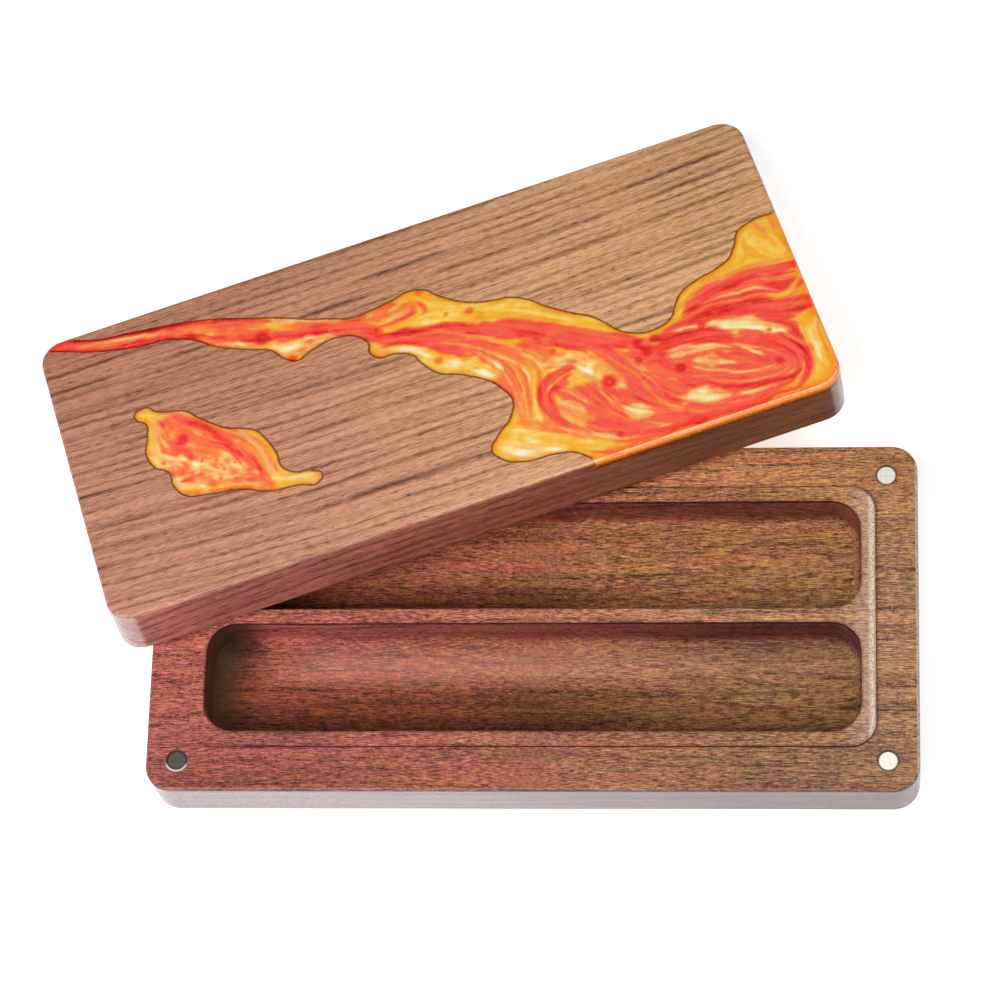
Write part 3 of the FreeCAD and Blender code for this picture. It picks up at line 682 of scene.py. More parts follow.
class Shader(Nodes):
    """One material. Its spot, x, y and z are the place in mm, in the row frame or in
    the frame of a matrix."""

    def __init__(self, name, matrix=None):
        self.material = bpy.data.materials.new(name)
        self.material.use_nodes = True
        super().__init__(self.material.node_tree)
        place = {"Vector": self.node("TexCoord").outputs["Object"], "Scale": (MM, MM, MM)}
        if matrix is not None:
            place["Location"] = matrix.to_translation()
            place["Rotation"] = matrix.to_euler("XYZ")
        self.spot = self.node("Mapping", place, vector_type="TEXTURE").outputs[0]
        self.x, self.y, self.z = self.axes(self.spot)

    def noise(self, scale, detail=2.0, roughness=0.5, distortion=0.0, place=None):
        """Cloudy random number, mostly near 0.5. Scale is one number or one per axis."""
        if place is None:
            place = self.spot
        if isinstance(scale, tuple):
            place = self.node("VectorMath", {0: place, 1: scale}, operation="MULTIPLY").outputs[0]
            scale = 1.0
        made = self.node("TexNoise", {"Vector": place, "Scale": scale, "Detail": detail,
                                      "Roughness": roughness, "Distortion": distortion})
        return Number(self, made.outputs[0])

    def attribute(self, name):
        """Number that the points of the mesh carry."""
        return Number(self, self.node("Attribute", attribute_name=name).outputs["Fac"])

    def past_outline(self):
        """Distance in mm outwards from a block's rounded outline, negative inside it."""
        over_x = (abs(self.x) - (HALF_LENGTH - CORNER_RADIUS)).at_least(0.0)
        over_y = (abs(self.y) - (HALF_WIDTH - CORNER_RADIUS)).at_least(0.0)
        return (over_x * over_x + over_y * over_y).calc("SQRT") - CORNER_RADIUS

    def on_side(self):
        """How far a place is on a block's outer sides, from 0 to 1."""
        return self.past_outline().between(-0.35, -0.05)

    def from_magnet(self, part):
        """Distance in mm from the axis of the nearest magnet of a block."""
        reach_x, reach_y = magnet_reach(part)
        off_x, off_y = abs(self.x) - reach_x, abs(self.y) - reach_y
        return (off_x * off_x + off_y * off_y).calc("SQRT")

    def bump(self, height, strength, distance):
        """Normal of a fine relief."""
        return self.node("Bump", {"Strength": strength, "Distance": distance,
                                  "Height": height}).outputs[0]

    def finish(self, colour, normal=None, **values):
        """Principled shader on the material's output."""
        surface = self.node("BsdfPrincipled", {"Base Color": colour})
        for key, value in values.items():
            self.feed(surface.inputs[key.replace("_", " ")], value)
        if normal is not None:
            self.feed(surface.inputs["Normal"], normal)
            self.feed(surface.inputs["Coat Normal"], normal)
        self.node("OutputMaterial", {"Surface": surface.outputs[0]})
        return self.material


def screen(*values):
    """Linear colour from the 0 to 255 values of a screen."""
    shares = [value / 255.0 for value in values]
    return tuple(v / 12.92 if v <= 0.04045 else ((v + 0.055) / 1.055) ** 2.4 for v in shares)


def dress(node_name, material):
    """Gives a CAD node its material."""
    mesh = NODES[node_name].data
    mesh.materials.clear()
    mesh.materials.append(material)


# ---------------------------------------------------------------- wood

def varnish(wood, colour, fibres, side, top, roughness, settings):
    """Wood under a coat that is thin on its tops and thick on its outer sides."""
    layers = wood.noise((0.02, 0.7, 1.5), 3.0, 0.7)
    side = side * layers.between(0.35, 0.62, 0.66, 1.0)
    return wood.finish(colour, wood.bump(fibres, 0.15, 0.0002),
                       Roughness=roughness, Specular_IOR_Level=0.25,
                       Coat_Weight=side * settings.side_coat + top * settings.coat,
                       Coat_Roughness=settings.coat_roughness, Coat_IOR=2.0)


def lid_ring(wood):
    """Which growth ring of the lid's board a place lies on, in mm across the board."""
    x, y, z = wood.x, wood.y, wood.z
    # the rings bend back towards both ends, and come forward with depth
    right = (x - 15.0).at_least(0.0)
    left = (-40.0 - x).at_least(0.0)
    ring = (y + 0.9 * (15.0 - z) - 0.00045 * (right * right)
            - left * y.between(-40.0, 40.0, 0.07, 0.022))
    return (ring + wood.noise((0.012, 0.035, 0.035), 1.0).sway(1.6)
            + wood.noise((0.06, 0.22, 0.22), 3.0).sway(1.6))


def growth_lines(wood, ring):
    """Darkness of the lid's growth lines on a ring."""
    total = 0.0
    for low, high in zip(LINE_BREAKS, LINE_BREAKS[1:]):
        stops = [(low, 0.0)]
        for middle, half, dark in LID_LINES:
            if low + half < middle < high - half:
                stops += [(middle - half, 0.0), (middle, dark), (middle + half, 0.0)]
        stops = [((place - low) / (high - low), dark) for place, dark in stops]
        total = total + wood.greys(ring.share(low, high), stops)
    return total


def lid_wood(settings):
    """Light brown board with dark growth lines along it."""
    wood = Shader("lid_wood", LID)
    x, y, z = wood.x, wood.y, wood.z
    ring = lid_ring(wood)
    rings = wood.vector(0.012 * x, ring, 0.1 * z)
    bands = wood.noise((1.0, 0.45, 1.0), place=rings)
    thin = wood.noise((1.6, 1.5, 1.0), 3.0, 0.6, place=rings)
    fibres = wood.noise((0.34, 3.4, 3.4), 3.0, 0.65)
    pores = wood.noise((0.40, 3.0, 3.0), 1.0)
    patchy = wood.noise((0.045, 0.2, 0.2), 3.0, 0.6)

    shade = bands.between(0.3, 0.7, 0.1, 0.5) + 0.5 * thin.between(0.5, 0.72) + fibres.sway(2.8)
    colour = wood.mix(shade, settings.lid_pale, settings.lid_middle)
    lines = growth_lines(wood, ring) * patchy.between(0.32, 0.64, 0.2, 1.35)
    dark = (lines + 0.5 * pores.between(0.57, 0.70)).at_most(1.0)
    dark = dark * fibres.between(0.3, 0.6, 0.7, 1.0)
    colour = wood.mix(dark, colour, settings.lid_dark)

    # pinker towards the left end, yellower towards the right, and paler at the front
    along = x.share(-HALF_LENGTH, HALF_LENGTH)
    colour = wood.tint(colour, wood.ramp(along, (
        (0.0, (0.77, 0.62, 0.70)), (0.25, (0.80, 0.66, 0.71)), (0.5, (0.88, 0.79, 0.77)),
        (0.7, (1, 0.97, 0.90)), (1.0, (1, 1, 0.84)))))
    colour = wood.tint(colour, wood.ramp(y.share(-HALF_WIDTH, HALF_WIDTH), (
        (0.0, (1.08, 1.12, 1.18)), (0.4, (1.07, 1.10, 1.14)), (1.0, (0.94, 0.93, 0.92)))))

    # the outer sides are painted darker and redder as shade, most of all at the right, and greyer
    # at the left end as a painted reflection
    side = wood.on_side()
    colour = wood.tint(colour, wood.ramp(along, (
        (0.0, (0.60, 0.64, 0.92)), (0.02, (0.68, 0.60, 0.80)), (0.05, (0.78, 0.52, 0.66)),
        (0.5, (0.58, 0.33, 0.36)), (0.8, (0.22, 0.12, 0.11)), (1.0, (0.22, 0.12, 0.11)))), side)
    dark = dark * side.between(0.0, 1.0, 0.0, 0.6) * x.between(-93.0, -89.0, 0.2, 1.0)
    colour = wood.mix(dark, colour, settings.lid_dark)
    return varnish(wood, colour, fibres, side, 1.0, WOOD_ROUGHNESS, settings)


def base_board(wood, fibres, settings):
    """Colour of the base's board, before the tones of its trays and walls."""
    x, y, z = wood.x, wood.y, wood.z
    ring = y - 0.35 * z + wood.noise((0.012, 0.04, 0.04), 1.0).sway(6.0)
    rings = wood.vector(0.014 * x, ring, 0.1 * z)
    bands = wood.noise((1.0, 0.3, 1.0), place=rings)
    thin = wood.noise((1.6, 1.2, 1.0), 3.0, 0.65, place=rings)
    long = wood.noise((4.5, 2.6, 1.0), 1.0, place=rings)
    streaks = wood.noise((2.4, 0.9, 1.0), 3.0, 0.6, place=rings)
    mottle = wood.noise((0.02, 0.06, 0.06))
    patches = wood.noise((0.10, 0.42, 0.42), 3.0, 0.6)
    pores = wood.noise((0.50, 3.8, 3.8), 2.0, 0.6)
    dapple = wood.noise(1.4)

    # red wood gives way to brown in long ragged streaks
    place = x + mottle.sway(80.0) + streaks.sway(330.0) + fibres.sway(260.0)
    brown = wood.tint(settings.base_brown, (1.04, 0.76, 0.68), x.fade(-60.0, 40.0))
    colour = wood.mix(place.between(-65.0, 90.0), settings.base_red, brown)
    colour = wood.tint(colour, wood.ramp(patches, (
        (0.36, (0.97, 0.94, 1.07)), (0.50, (1, 1, 1)), (0.64, (1.02, 1.04, 0.86)))))
    light = bands.between(0.3, 0.7, 0.70, 1.05) - 0.45 * thin.between(0.50, 0.70)
    light = (light + fibres.sway(3.8) + dapple.sway(1.1)).at_least(0.12)
    colour = wood.tint(colour, wood.vector(light, light, light))
    dark = pores.between(0.54, 0.64, 0.0, 0.8).at_least(long.between(0.60, 0.72, 0.0, 0.6))
    colour = wood.mix(dark, colour, settings.base_dark)

    # browner at the back, and darker at the front
    return wood.tint(colour, wood.ramp(y.share(-HALF_WIDTH, HALF_WIDTH), (
        (0.05, (0.78, 0.73, 0.70)), (0.22, (0.90, 0.88, 0.84)), (0.45, (0.99, 0.97, 0.88)),
        (0.8, (1, 0.94, 0.76)), (0.95, (1.0, 0.84, 0.60)))))


def tray_light_and_shade(wood, colour, in_trays):
    """Colour with painted shade and painted light in the two trays. The front tray's y is
    negative.
    """
    x, y, z = wood.x, wood.y, wood.z
    # painted shade: darker the lower a place lies, from 15 mm down to 2 mm
    colour = wood.tint(colour, (0.70, 0.68, 0.52), z.fade(2.0, 15.0, 0.55))
    # painted shade on the front tray's back wall and the floor before it, most of all at the right
    shaded = x.between(-5.0, 60.0, 0.0, 0.8) * y.between(-6.0, 1.0, 1.0, 0.7)
    shaded = shaded * y.between(-12.0, -2.0) * y.fade(1.0, 1.5)
    colour = wood.tint(colour, (0.42, 0.36, 0.46), shaded * in_trays)

    # painted shadow in olive along the front tray's front, the back tray's front and both left
    # ends
    across = y.share(-30.0, 0.0)
    front = wood.greys(across, ((0.0, 1.0), (0.17, 0.95), (0.36, 0.8), (0.48, 0.5),
                                (0.60, 0.05), (0.66, 0.0)))
    front = front * x.between(0.0, 50.0, 1.0, 0.4)
    back = y.fade(6.0, 16.0) * y.between(1.0, 1.5) * x.fade(-10.0, 40.0)
    olive_shadow = front.at_least(x.fade(-76.0, -62.0)).at_least(back)
    colour = wood.tint(colour, (0.43, 0.39, 0.23), olive_shadow * in_trays)

    # painted shade on the left wall and beside it, and a painted shadow in the front tray's back
    # left corner
    colour = wood.mix(x.fade(-79.0, -72.5, 0.55) * in_trays, colour, (0.140, 0.094, 0.046))
    shadow = abs(x + 74.5).fade(2.0, 7.5) * abs(y + 3.6).fade(0.5, 4.5, 0.65)
    colour = wood.mix(shadow * in_trays, colour, (0.016, 0.010, 0.007))

    # a painted pool of light in front of the divider, and dark spots, most of all at the front
    # right
    pale = wood.greys(across, ((0.50, 0.0), (0.68, 1.0), (0.80, 0.7), (0.95, 0.0)))
    pale = pale * x.between(-10.0, 30.0, 0.22, 0.08) * x.between(-72.0, -50.0)
    colour = wood.mix(pale * in_trays, colour, (0.75, 0.42, 0.34))
    spots = wood.noise((0.20, 0.50, 0.50), 3.0, 0.6).between(0.50, 0.64, 0.0, 0.75)
    spots = spots * y.between(-14.0, -6.0, 1.0, 0.15) * x.between(5.0, 60.0, 0.2, 1.0)
    return wood.tint(colour, (0.42, 0.40, 0.36), spots * in_trays)


def wall_light_and_shade(wood, colour):
    """Colour with painted light and shade on upright walls: maroon shade, paler at the left end,
    darkest at the foot of the lip.
    """
    x, z = wood.x, wood.z
    slope = wood.axes(wood.node("NewGeometry").outputs["Normal"])[2]
    steep = abs(slope).fade(0.35, 0.95) * x.between(-76.0, -60.0, 0.4, 1.0)
    colour = wood.tint(colour, wood.ramp(x.share(-80.0, 80.0), (
        (0.2, (1.20, 1.18, 1.40)), (0.5, (0.74, 0.52, 0.64)), (0.8, (0.60, 0.38, 0.52)),
        (1.0, (0.60, 0.38, 0.56)))), steep)
    foot = steep * z.between(LEDGE_TOP - 0.3, LEDGE_TOP) * z.fade(BASE_TOP - 0.7, BASE_TOP - 0.3)
    return wood.tint(colour, (0.22, 0.16, 0.18), foot)


def worn_edges_and_highlights(wood, colour, fibres):
    """Colour with worn end grain and painted highlights along the lip's and the block's right
    edges.
    """
    x, z = wood.x, wood.z
    # a pale strip along the lip's right end: painted highlight, on end grain that is also worn
    # pale
    pale = x.between(76.0, 82.5, 0.0, 0.34) * z.between(BASE_TOP - 1.0, BASE_TOP - 0.2)
    pale = pale * fibres.between(0.35, 0.6, 0.3, 1.3)
    colour = wood.mix(pale, colour, (0.66, 0.46, 0.36))
    # bright specks on the lip's right bevel and the block's right top edge: painted highlights,
    # broken up as on worn edges
    edge_specks = wood.noise(2.6)
    lip = x.between(82.2, 83.4) * z.between(BASE_TOP - 1.4, BASE_TOP - 0.6)
    lip = lip * edge_specks.between(0.40, 0.58, 0.25, 0.95)
    outer = x.between(HALF_LENGTH - 0.9, HALF_LENGTH - 0.5) * edge_specks.between(0.4, 0.6, 0.2, 0.8)
    return wood.mix(lip.at_least(outer), colour, (0.82, 0.64, 0.50))


def magnet_bores(wood, colour, settings):
    """Colour with painted shade rings round the magnets, and a painted highlight on the near edge
    of one of them.
    """
    x, y, z = wood.x, wood.y, wood.z
    away = wood.from_magnet("base")
    above = z.between(13.5, 14.5)
    # the pores' dark colour serves here as painted shade round each magnet; shine is a painted
    # highlight on the front left bore's near rim
    colour = wood.mix(away.fade(2.55, 2.95, 0.8) * above, colour, settings.base_dark)
    shine = away.fade(2.75, 3.05) * y.fade(-38.4, -37.2, 0.85) * x.fade(-80.0, -79.0)
    return wood.mix(shine * above, colour, (0.72, 0.62, 0.60))


def base_wood(settings):
    """Red board, brown towards the right, with short dark pores along it."""
    wood = Shader("base_wood")
    x, y, z = wood.x, wood.y, wood.z
    fibres = wood.noise((0.44, 3.8, 3.8), 3.0, 0.7)
    reach_x, reach_y = TRAYS_REACH
    in_trays = (z.between(2.5, 3.5) * z.fade(BASE_TOP - 1.0, BASE_TOP - 0.1)
                * abs(x).fade(reach_x, reach_x + 0.5) * abs(y).fade(reach_y, reach_y + 0.5))
    colour = base_board(wood, fibres, settings)
    colour = tray_light_and_shade(wood, colour, in_trays)
    colour = wall_light_and_shade(wood, colour)
    colour = worn_edges_and_highlights(wood, colour, fibres)
    colour = magnet_bores(wood, colour, settings)

    # the outer sides are painted cool grey as a reflection of the pale floor, and darker towards
    # the right as painted shade; their coat is thinner towards the right
    side = wood.on_side()
    colour = wood.tint(colour, wood.ramp(x.share(-HALF_LENGTH, HALF_LENGTH), (
        (0.0, (0.44, 0.80, 0.98)), (1.0, (0.42, 0.45, 0.54)))), side)
    side = side * x.between(-40.0, HALF_LENGTH, 1.0, 0.68)
    top = z.between(LEDGE_TOP - 0.8, LEDGE_TOP - 0.3)
    return varnish(wood, colour, fibres, side, top, in_trays * 0.35 + WOOD_ROUGHNESS, settings)


def nickel(part):
    """Bright plate with faint specks and a dark edge painted as shade."""
    metal = Shader(f"nickel_plate_{part}", LID if part == "lid" else None)
    specks = metal.noise(2.2, 3.0, 0.7)
    colour = metal.ramp(specks, ((0.35, (0.72, 0.68, 0.60)), (0.6, (0.83, 0.79, 0.71))))
    # painted shade of the gap round the disc's edge
    edge = metal.from_magnet(part).between(2.05, 2.35)
    colour = metal.mix(edge, colour, (0.20, 0.16, 0.12))
    return metal.finish(colour, metal.bump(specks, 0.05, 0.0001), Metallic=1.0, Roughness=0.2)


# ---------------------------------------------------------------- marbling

def smooth_line(points, step=1.2):
    """Evenly spaced points on a smooth line through the given ones."""
    given = np.array(points, float)
    if len(given) == 1:
        given = given + np.array([[-0.3, 0.0], [0.0, 0.0], [0.3, 0.0]])
    if len(given) == 2:
        given = np.array([given[0], given.mean(0), given[1]])
    ends = np.vstack([2 * given[0] - given[1], given, 2 * given[-1] - given[-2]])
    rows = []
    for before, start, end, after in zip(ends, ends[1:], ends[2:], ends[3:]):
        count = max(2, int(np.linalg.norm(end - start) / step) + 1)
        t = np.linspace(0, 1, count, endpoint=False)[:, None]
        rows.append(0.5 * (2 * start + (end - before) * t
                           + (2 * before - 5 * start + 4 * end - after) * t ** 2
                           + (3 * start - before - 3 * end + after) * t ** 3))
    rows.append(given[-1:])
    return np.vstack(rows)


def to_segment(spots, start, end):
    """Squared distance from each spot to a segment, and the share of it passed there."""
    run = end - start
    t = np.clip((spots - start) @ run / max(run @ run, 1e-12), 0, 1)
    gap = spots - start - t[:, None] * run
    return np.einsum("ij,ij->i", gap, gap), t


def distance_to(line, spots):
    """Distance from each spot to a line of points, the share of the line passed there,
    and the line's direction there."""
    best = np.full(len(spots), np.inf)
    share = np.zeros(len(spots))
    heading = np.zeros((len(spots), 2))
    for i, (start, end) in enumerate(zip(line, line[1:])):
        far, t = to_segment(spots, start, end)
        nearer = far < best
        best[nearer] = far[nearer]
        share[nearer] = (i + t[nearer]) / (len(line) - 1)
        heading[nearer] = (end - start) / np.linalg.norm(end - start)
    return np.sqrt(best), share, heading


def eased(value):
    """Value clamped to 0 and 1, with soft ends."""
    value = np.clip(value, 0, 1)
    return value * value * (3 - 2 * value)


def blend_cells(field, i, j, s, t):
    """Value of a field a share s past row i and a share t past column j."""
    return ((field[i, j] * (1 - t) + field[i, j + 1] * t) * (1 - s)
            + (field[i + 1, j] * (1 - t) + field[i + 1, j + 1] * t) * s)


class Marbling:
    """Tones of liquid resin on a fine grid over the lid's top, in mm."""

    cell = 0.32
    margin = 3.0            # how far the grid goes past the piece
    reach = 4.5             # how far a streak turns the flow round it

    def __init__(self, seed, ground, low, high):
        self.random = np.random.RandomState(seed)
        self.left, self.near = low[0] - self.margin, low[1] - self.margin
        self.x, self.y = np.meshgrid(np.arange(self.left, high[0] + self.margin, self.cell),
                                     np.arange(self.near, high[1] + self.margin, self.cell))
        self.shape = self.x.shape
        self.wander_x, self.wander_y = (
            axis + 1.2 * (self.cloud(16) - 0.5) + 0.6 * (self.cloud(5) - 0.5)
            for axis in (self.x, self.y))
        self.tone = np.full(self.shape, ground)
        self.amber = np.full(self.shape, float(ground in (AMBER, GOLD)))
        self.flow = np.zeros(self.shape + (2,))
        self.flow[..., 0] = 0.01

    def cloud(self, size):
        """Smooth random field from 0 to 1; size is the width of a patch in cells."""
        rows, columns = (int(n / size) + 3 for n in self.shape)
        coarse = self.random.rand(rows, columns)
        v = np.arange(self.shape[0])[:, None] / size
        u = np.arange(self.shape[1])[None, :] / size
        i, j = v.astype(int), u.astype(int)
        return blend_cells(coarse, i, j, eased(v - i), eased(u - j))

    def window(self, line, margin):
        """Part of the grid round a line."""
        low = (line.min(0) - margin - (self.left, self.near)) / self.cell
        high = (line.max(0) + margin - (self.left, self.near)) / self.cell
        return (slice(max(0, int(low[1])), int(high[1]) + 2),
                slice(max(0, int(low[0])), int(high[0]) + 2))

    def streak(self, tone, half, points):
        """Lays down one streak, thinner towards its ends."""
        line = smooth_line(points)
        part = self.window(line, self.reach + half)
        shape = self.tone[part].shape
        spots = np.column_stack([self.wander_x[part].ravel(), self.wander_y[part].ravel()])
        far, share, heading = distance_to(line, spots)
        width = half * (0.3 + 0.7 * np.sin(math.pi * np.clip(share, 0, 1)) ** 0.6)
        cover = eased((1.2 * width - far) / (0.4 * width + 0.2)).reshape(shape)
        self.tone[part] += (tone - self.tone[part]) * cover
        amber = {AMBER: 1.0, GOLD: 1.0, ORANGE: 0.4}.get(tone, 0.0)
        self.amber[part] += (amber - self.amber[part]) * cover

        # the flow turns along the line; it is kept as doubled angles
        pull = np.exp(-np.square(np.maximum(far - width, 0) / 2.0))
        doubled = np.column_stack([heading[:, 0] ** 2 - heading[:, 1] ** 2,
                                   2 * heading[:, 0] * heading[:, 1]])
        self.flow[part] += (pull[:, None] * doubled).reshape(shape + (2,))

    def smear(self, field, steps):
        """Field drawn out along the flow."""
        angle = 0.5 * np.arctan2(self.flow[..., 1], self.flow[..., 0])
        step_x, step_y = np.cos(angle), np.sin(angle)
        rows, columns = np.indices(self.shape)
        total = field.copy()
        for sign in (1.0, -1.0):
            at_x, at_y = columns.astype(float), rows.astype(float)
            go_x, go_y = step_x * sign, step_y * sign
            for _ in range(steps):
                at_x += go_x
                at_y += go_y
                i = np.clip(np.rint(at_y).astype(int), 0, self.shape[0] - 1)
                j = np.clip(np.rint(at_x).astype(int), 0, self.shape[1] - 1)
                total += field[i, j]
                ahead = np.where(step_x[i, j] * go_x + step_y[i, j] * go_y < 0, -1.0, 1.0)
                go_x, go_y = step_x[i, j] * ahead, step_y[i, j] * ahead
        return total / (2 * steps + 1)

    def mottle(self, middle, half_length, half_width, count, light, dark):
        """Small round patches, scattered round a middle."""
        for _ in range(count):
            angle, share = self.random.rand() * 2 * math.pi, math.sqrt(self.random.rand())
            x = middle[0] + half_length * share * math.cos(angle)
            y = middle[1] + half_width * share * math.sin(angle)
            radius = 0.3 + 0.75 * self.random.rand() ** 2
            tone = light + (dark - light) * self.random.rand()
            part = self.window(np.array([[x, y]]), radius + 1.0)
            far = np.hypot(self.wander_x[part] - x, self.wander_y[part] - y) / radius
            self.tone[part] += (tone - self.tone[part]) * 0.6 * eased(1.5 - far)

    def settle(self, strength):
        """Draws the tones out along the flow and adds fine streaks."""
        self.tone = self.smear(self.tone, 2)
        self.amber = self.smear(self.amber, 4)
        calm = 1.0 - 0.5 * self.amber
        for size, share in ((1.5, 1.0), (3.5, 0.8)):
            fine = self.smear(self.cloud(size), 16)
            fine = (fine - fine.mean()) / fine.std()
            self.tone += strength * share * calm * (fine + 1.4 * eased((fine - 0.9) / 0.8)
                                                    - eased((-fine - 0.9) / 0.8))
        self.tone += strength * (1.0 + self.amber) * (self.cloud(6) - 0.5)

    def bubble(self, x, y, radius, strength):
        """Dark ring with a slightly paler middle."""
        part = self.window(np.array([[x, y]]), radius + 1.0)
        far = np.hypot(self.x[part] - x, self.y[part] - y) / radius
        ring = eased(1.5 - 0.8 * far) * (1 - 0.4 * eased(1.2 - 2.4 * far))
        self.tone[part] += (DEEP - self.tone[part]) * np.clip(0.85 * strength * ring, 0, 0.85)

    def read(self, spots, field):
        """Value of a field at each spot, between the grid's points."""
        u = np.clip((spots[:, 0] - self.left) / self.cell, 0, self.shape[1] - 1.01)
        v = np.clip((spots[:, 1] - self.near) / self.cell, 0, self.shape[0] - 1.01)
        i, j = v.astype(int), u.astype(int)
        return blend_cells(field, i, j, v - i, u - j)


# ---------------------------------------------------------------- resin pieces

def beyond_rim(x, y, margin):
    """Whether a point on the lid is within a margin of the lid's outside."""
    over_x = max(abs(x) - HALF_LENGTH + CORNER_RADIUS, 0)
    over_y = max(abs(y) - HALF_WIDTH + CORNER_RADIUS, 0)
    return (abs(x) > HALF_LENGTH - margin or abs(y) > HALF_WIDTH - margin
            or math.hypot(over_x, over_y) > CORNER_RADIUS - margin)


def split_long_edges(mesh, limit):
    """Splits the long edges on the lid's outside and round the top."""
    top = max(v.co.z for v in mesh.verts)
    while True:
        long_edges = []
        for edge in mesh.edges:
            a, b = edge.verts
            flat = min(a.co.z, b.co.z) > top - 0.01
            outside = (beyond_rim(a.co.x, a.co.y, 1.0) and beyond_rim(b.co.x, b.co.y, 1.0))
            if (flat or outside) and edge.calc_length() > limit:
                if not flat or any(abs(f.normal.z) < 0.999 for f in edge.link_faces):
                    long_edges.append(edge)
        if not long_edges:
            return
        bmesh.ops.subdivide_edges(mesh, edges=long_edges, cuts=1)


def outline_of(mesh, faces):
    """Corners of the outline round some faces, and the pairs of them that its edges join."""
    kept = set(faces)
    rim = [e for e in mesh.edges if sum(f in kept for f in e.link_faces) == 1]
    corners = list({v for e in rim for v in e.verts})
    corners.sort(key=lambda v: (round(v.co.x, 5), round(v.co.y, 5)))
    number = {v: i for i, v in enumerate(corners)}
    return corners, [(number[e.verts[0]], number[e.verts[1]]) for e in rim]


def top_points(low, high, spacing, bubbles):
    """Points of even triangles over a rectangle, and rings of points at the bubbles."""
    columns = np.arange(low[0], high[0], spacing)
    rows = np.arange(low[1], high[1], spacing * math.sqrt(0.75))
    points = [np.column_stack([columns + (i % 2) * spacing / 2, np.full(len(columns), y)])
              for i, y in enumerate(rows)]
    for x, y, radius, _ in bubbles:
        for ring, share in enumerate((0.0, 0.35, 0.7, 1.0, 1.3, 1.6)):
            turns = np.linspace(0, 2 * math.pi, max(1, 6 * ring), endpoint=False) + ring
            points.append(np.column_stack([x + share * radius * np.cos(turns),
                                           y + share * radius * np.sin(turns)]))
    return np.vstack(points)


def well_inside(points, starts, ends, margin):
    """Whether each point lies inside an outline and more than a margin away from it."""
    inside = np.zeros(len(points), bool)
    nearest = np.full(len(points), np.inf)
    for start, end in zip(starts, ends):
        crosses = (start[1] > points[:, 1]) != (end[1] > points[:, 1])
        if crosses.any():
            slope = (end[0] - start[0]) / (end[1] - start[1])
            where = start[0] + (points[crosses, 1] - start[1]) * slope
            inside[crosses] ^= points[crosses, 0] < where
        nearest = np.minimum(nearest, to_segment(points, start, end)[0])
    return inside & (nearest > margin ** 2)


def refill_top(mesh, spacing, bubbles):
    """Replaces the flat top by fine triangles inside the same outline.

    Returns the parts of the outline that are banks against the wood.
    """
    top = max(v.co.z for v in mesh.verts)
    flat = [f for f in mesh.faces
            if f.normal.z > 0.999 and abs(f.calc_center_median().z - top) < 0.01]
    corners, pairs = outline_of(mesh, flat)
    outline = np.array([(v.co.x, v.co.y) for v in corners])
    starts, ends = (outline[[pair[k] for pair in pairs]] for k in (0, 1))
    points = top_points(outline.min(0), outline.max(0), spacing, bubbles)
    points = points[well_inside(points, starts, ends, 0.4 * spacing)]

    flat_points = [Vector(p) for p in outline] + [Vector(p) for p in points]
    placed, _, faces, origins, _, _ = delaunay_2d_cdt(flat_points, pairs, [], 1, 1e-5)
    bmesh.ops.delete(mesh, geom=flat, context="FACES")
    made = []
    for spot, sources in zip(placed, origins):
        old = [s for s in sources if s < len(corners)]
        made.append(corners[old[0]] if old else mesh.verts.new((spot.x, spot.y, top)))
    for a, b, c in faces:
        p, q, r = placed[a], placed[b], placed[c]
        if (q - p).cross(r - p) < 0:
            b, c = c, b
        if len({made[a], made[b], made[c]}) == 3:
            mesh.faces.new((made[a], made[b], made[c]))
    return [(start, end) for start, end in zip(starts, ends)
            if not beyond_rim(*((start + end) / 2), 1.2)]


def bank_distance(spots, banks):
    """Distance in mm from each spot to the nearest bank."""
    best = np.full(len(spots), np.inf)
    for start, end in banks:
        best = np.minimum(best, to_segment(spots, start, end)[0])
    return np.sqrt(best)


def resin_mesh(node, to_lid, spacing, bubbles):
    """Finer mesh of a CAD node in the lid's frame in mm, and its banks."""
    mesh = bmesh.new()
    mesh.from_mesh(NODES[node].data)
    mesh.transform(to_lid)
    bmesh.ops.remove_doubles(mesh, verts=mesh.verts, dist=1e-4)
    bmesh.ops.recalc_face_normals(mesh, faces=mesh.faces)
    mesh.normal_update()
    split_long_edges(mesh, LONGEST_EDGE)
    mesh.normal_update()
    banks = refill_top(mesh, spacing, bubbles)
    bmesh.ops.triangulate(mesh, faces=[f for f in mesh.faces if len(f.verts) > 3])
    return mesh, banks


def resin_piece(name, node, ground, streaks, mottles, bubbles, settings):
    """Marbled resin in the place of one CAD node."""
    to_lid = Matrix.Scale(1 / MM, 4) @ LID.inverted()
    mesh, banks = resin_mesh(node, to_lid, settings.spacing / MM, bubbles)
    places = np.array([tuple(v.co) for v in mesh.verts])
    spots = places[:, :2]
    marbling = Marbling(settings.seed, ground, places.min(0), places.max(0))
    for tone, half, points in streaks:
        marbling.streak(tone, half, points)
    for patches in mottles:
        marbling.mottle(*patches)
    marbling.settle(settings.streaks)
    for bubble in bubbles:
        marbling.bubble(*bubble)

    mesh.transform(to_lid.inverted())
    data = bpy.data.meshes.new(name)
    mesh.to_mesh(data)
    mesh.free()
    for title, values in (("tone", marbling.read(spots, marbling.tone)),
                          ("amber", marbling.read(spots, marbling.amber)),
                          ("shore", bank_distance(spots, banks))):
        layer = data.attributes.new(title, "FLOAT", "POINT")
        layer.data.foreach_set("value", values.astype(np.float32))
    data.shade_smooth()
    data.set_sharp_from_angle(angle=SHARP_ANGLE)
    piece = bpy.data.objects.new(name, data)
    bpy.context.scene.collection.objects.link(piece)
    return piece


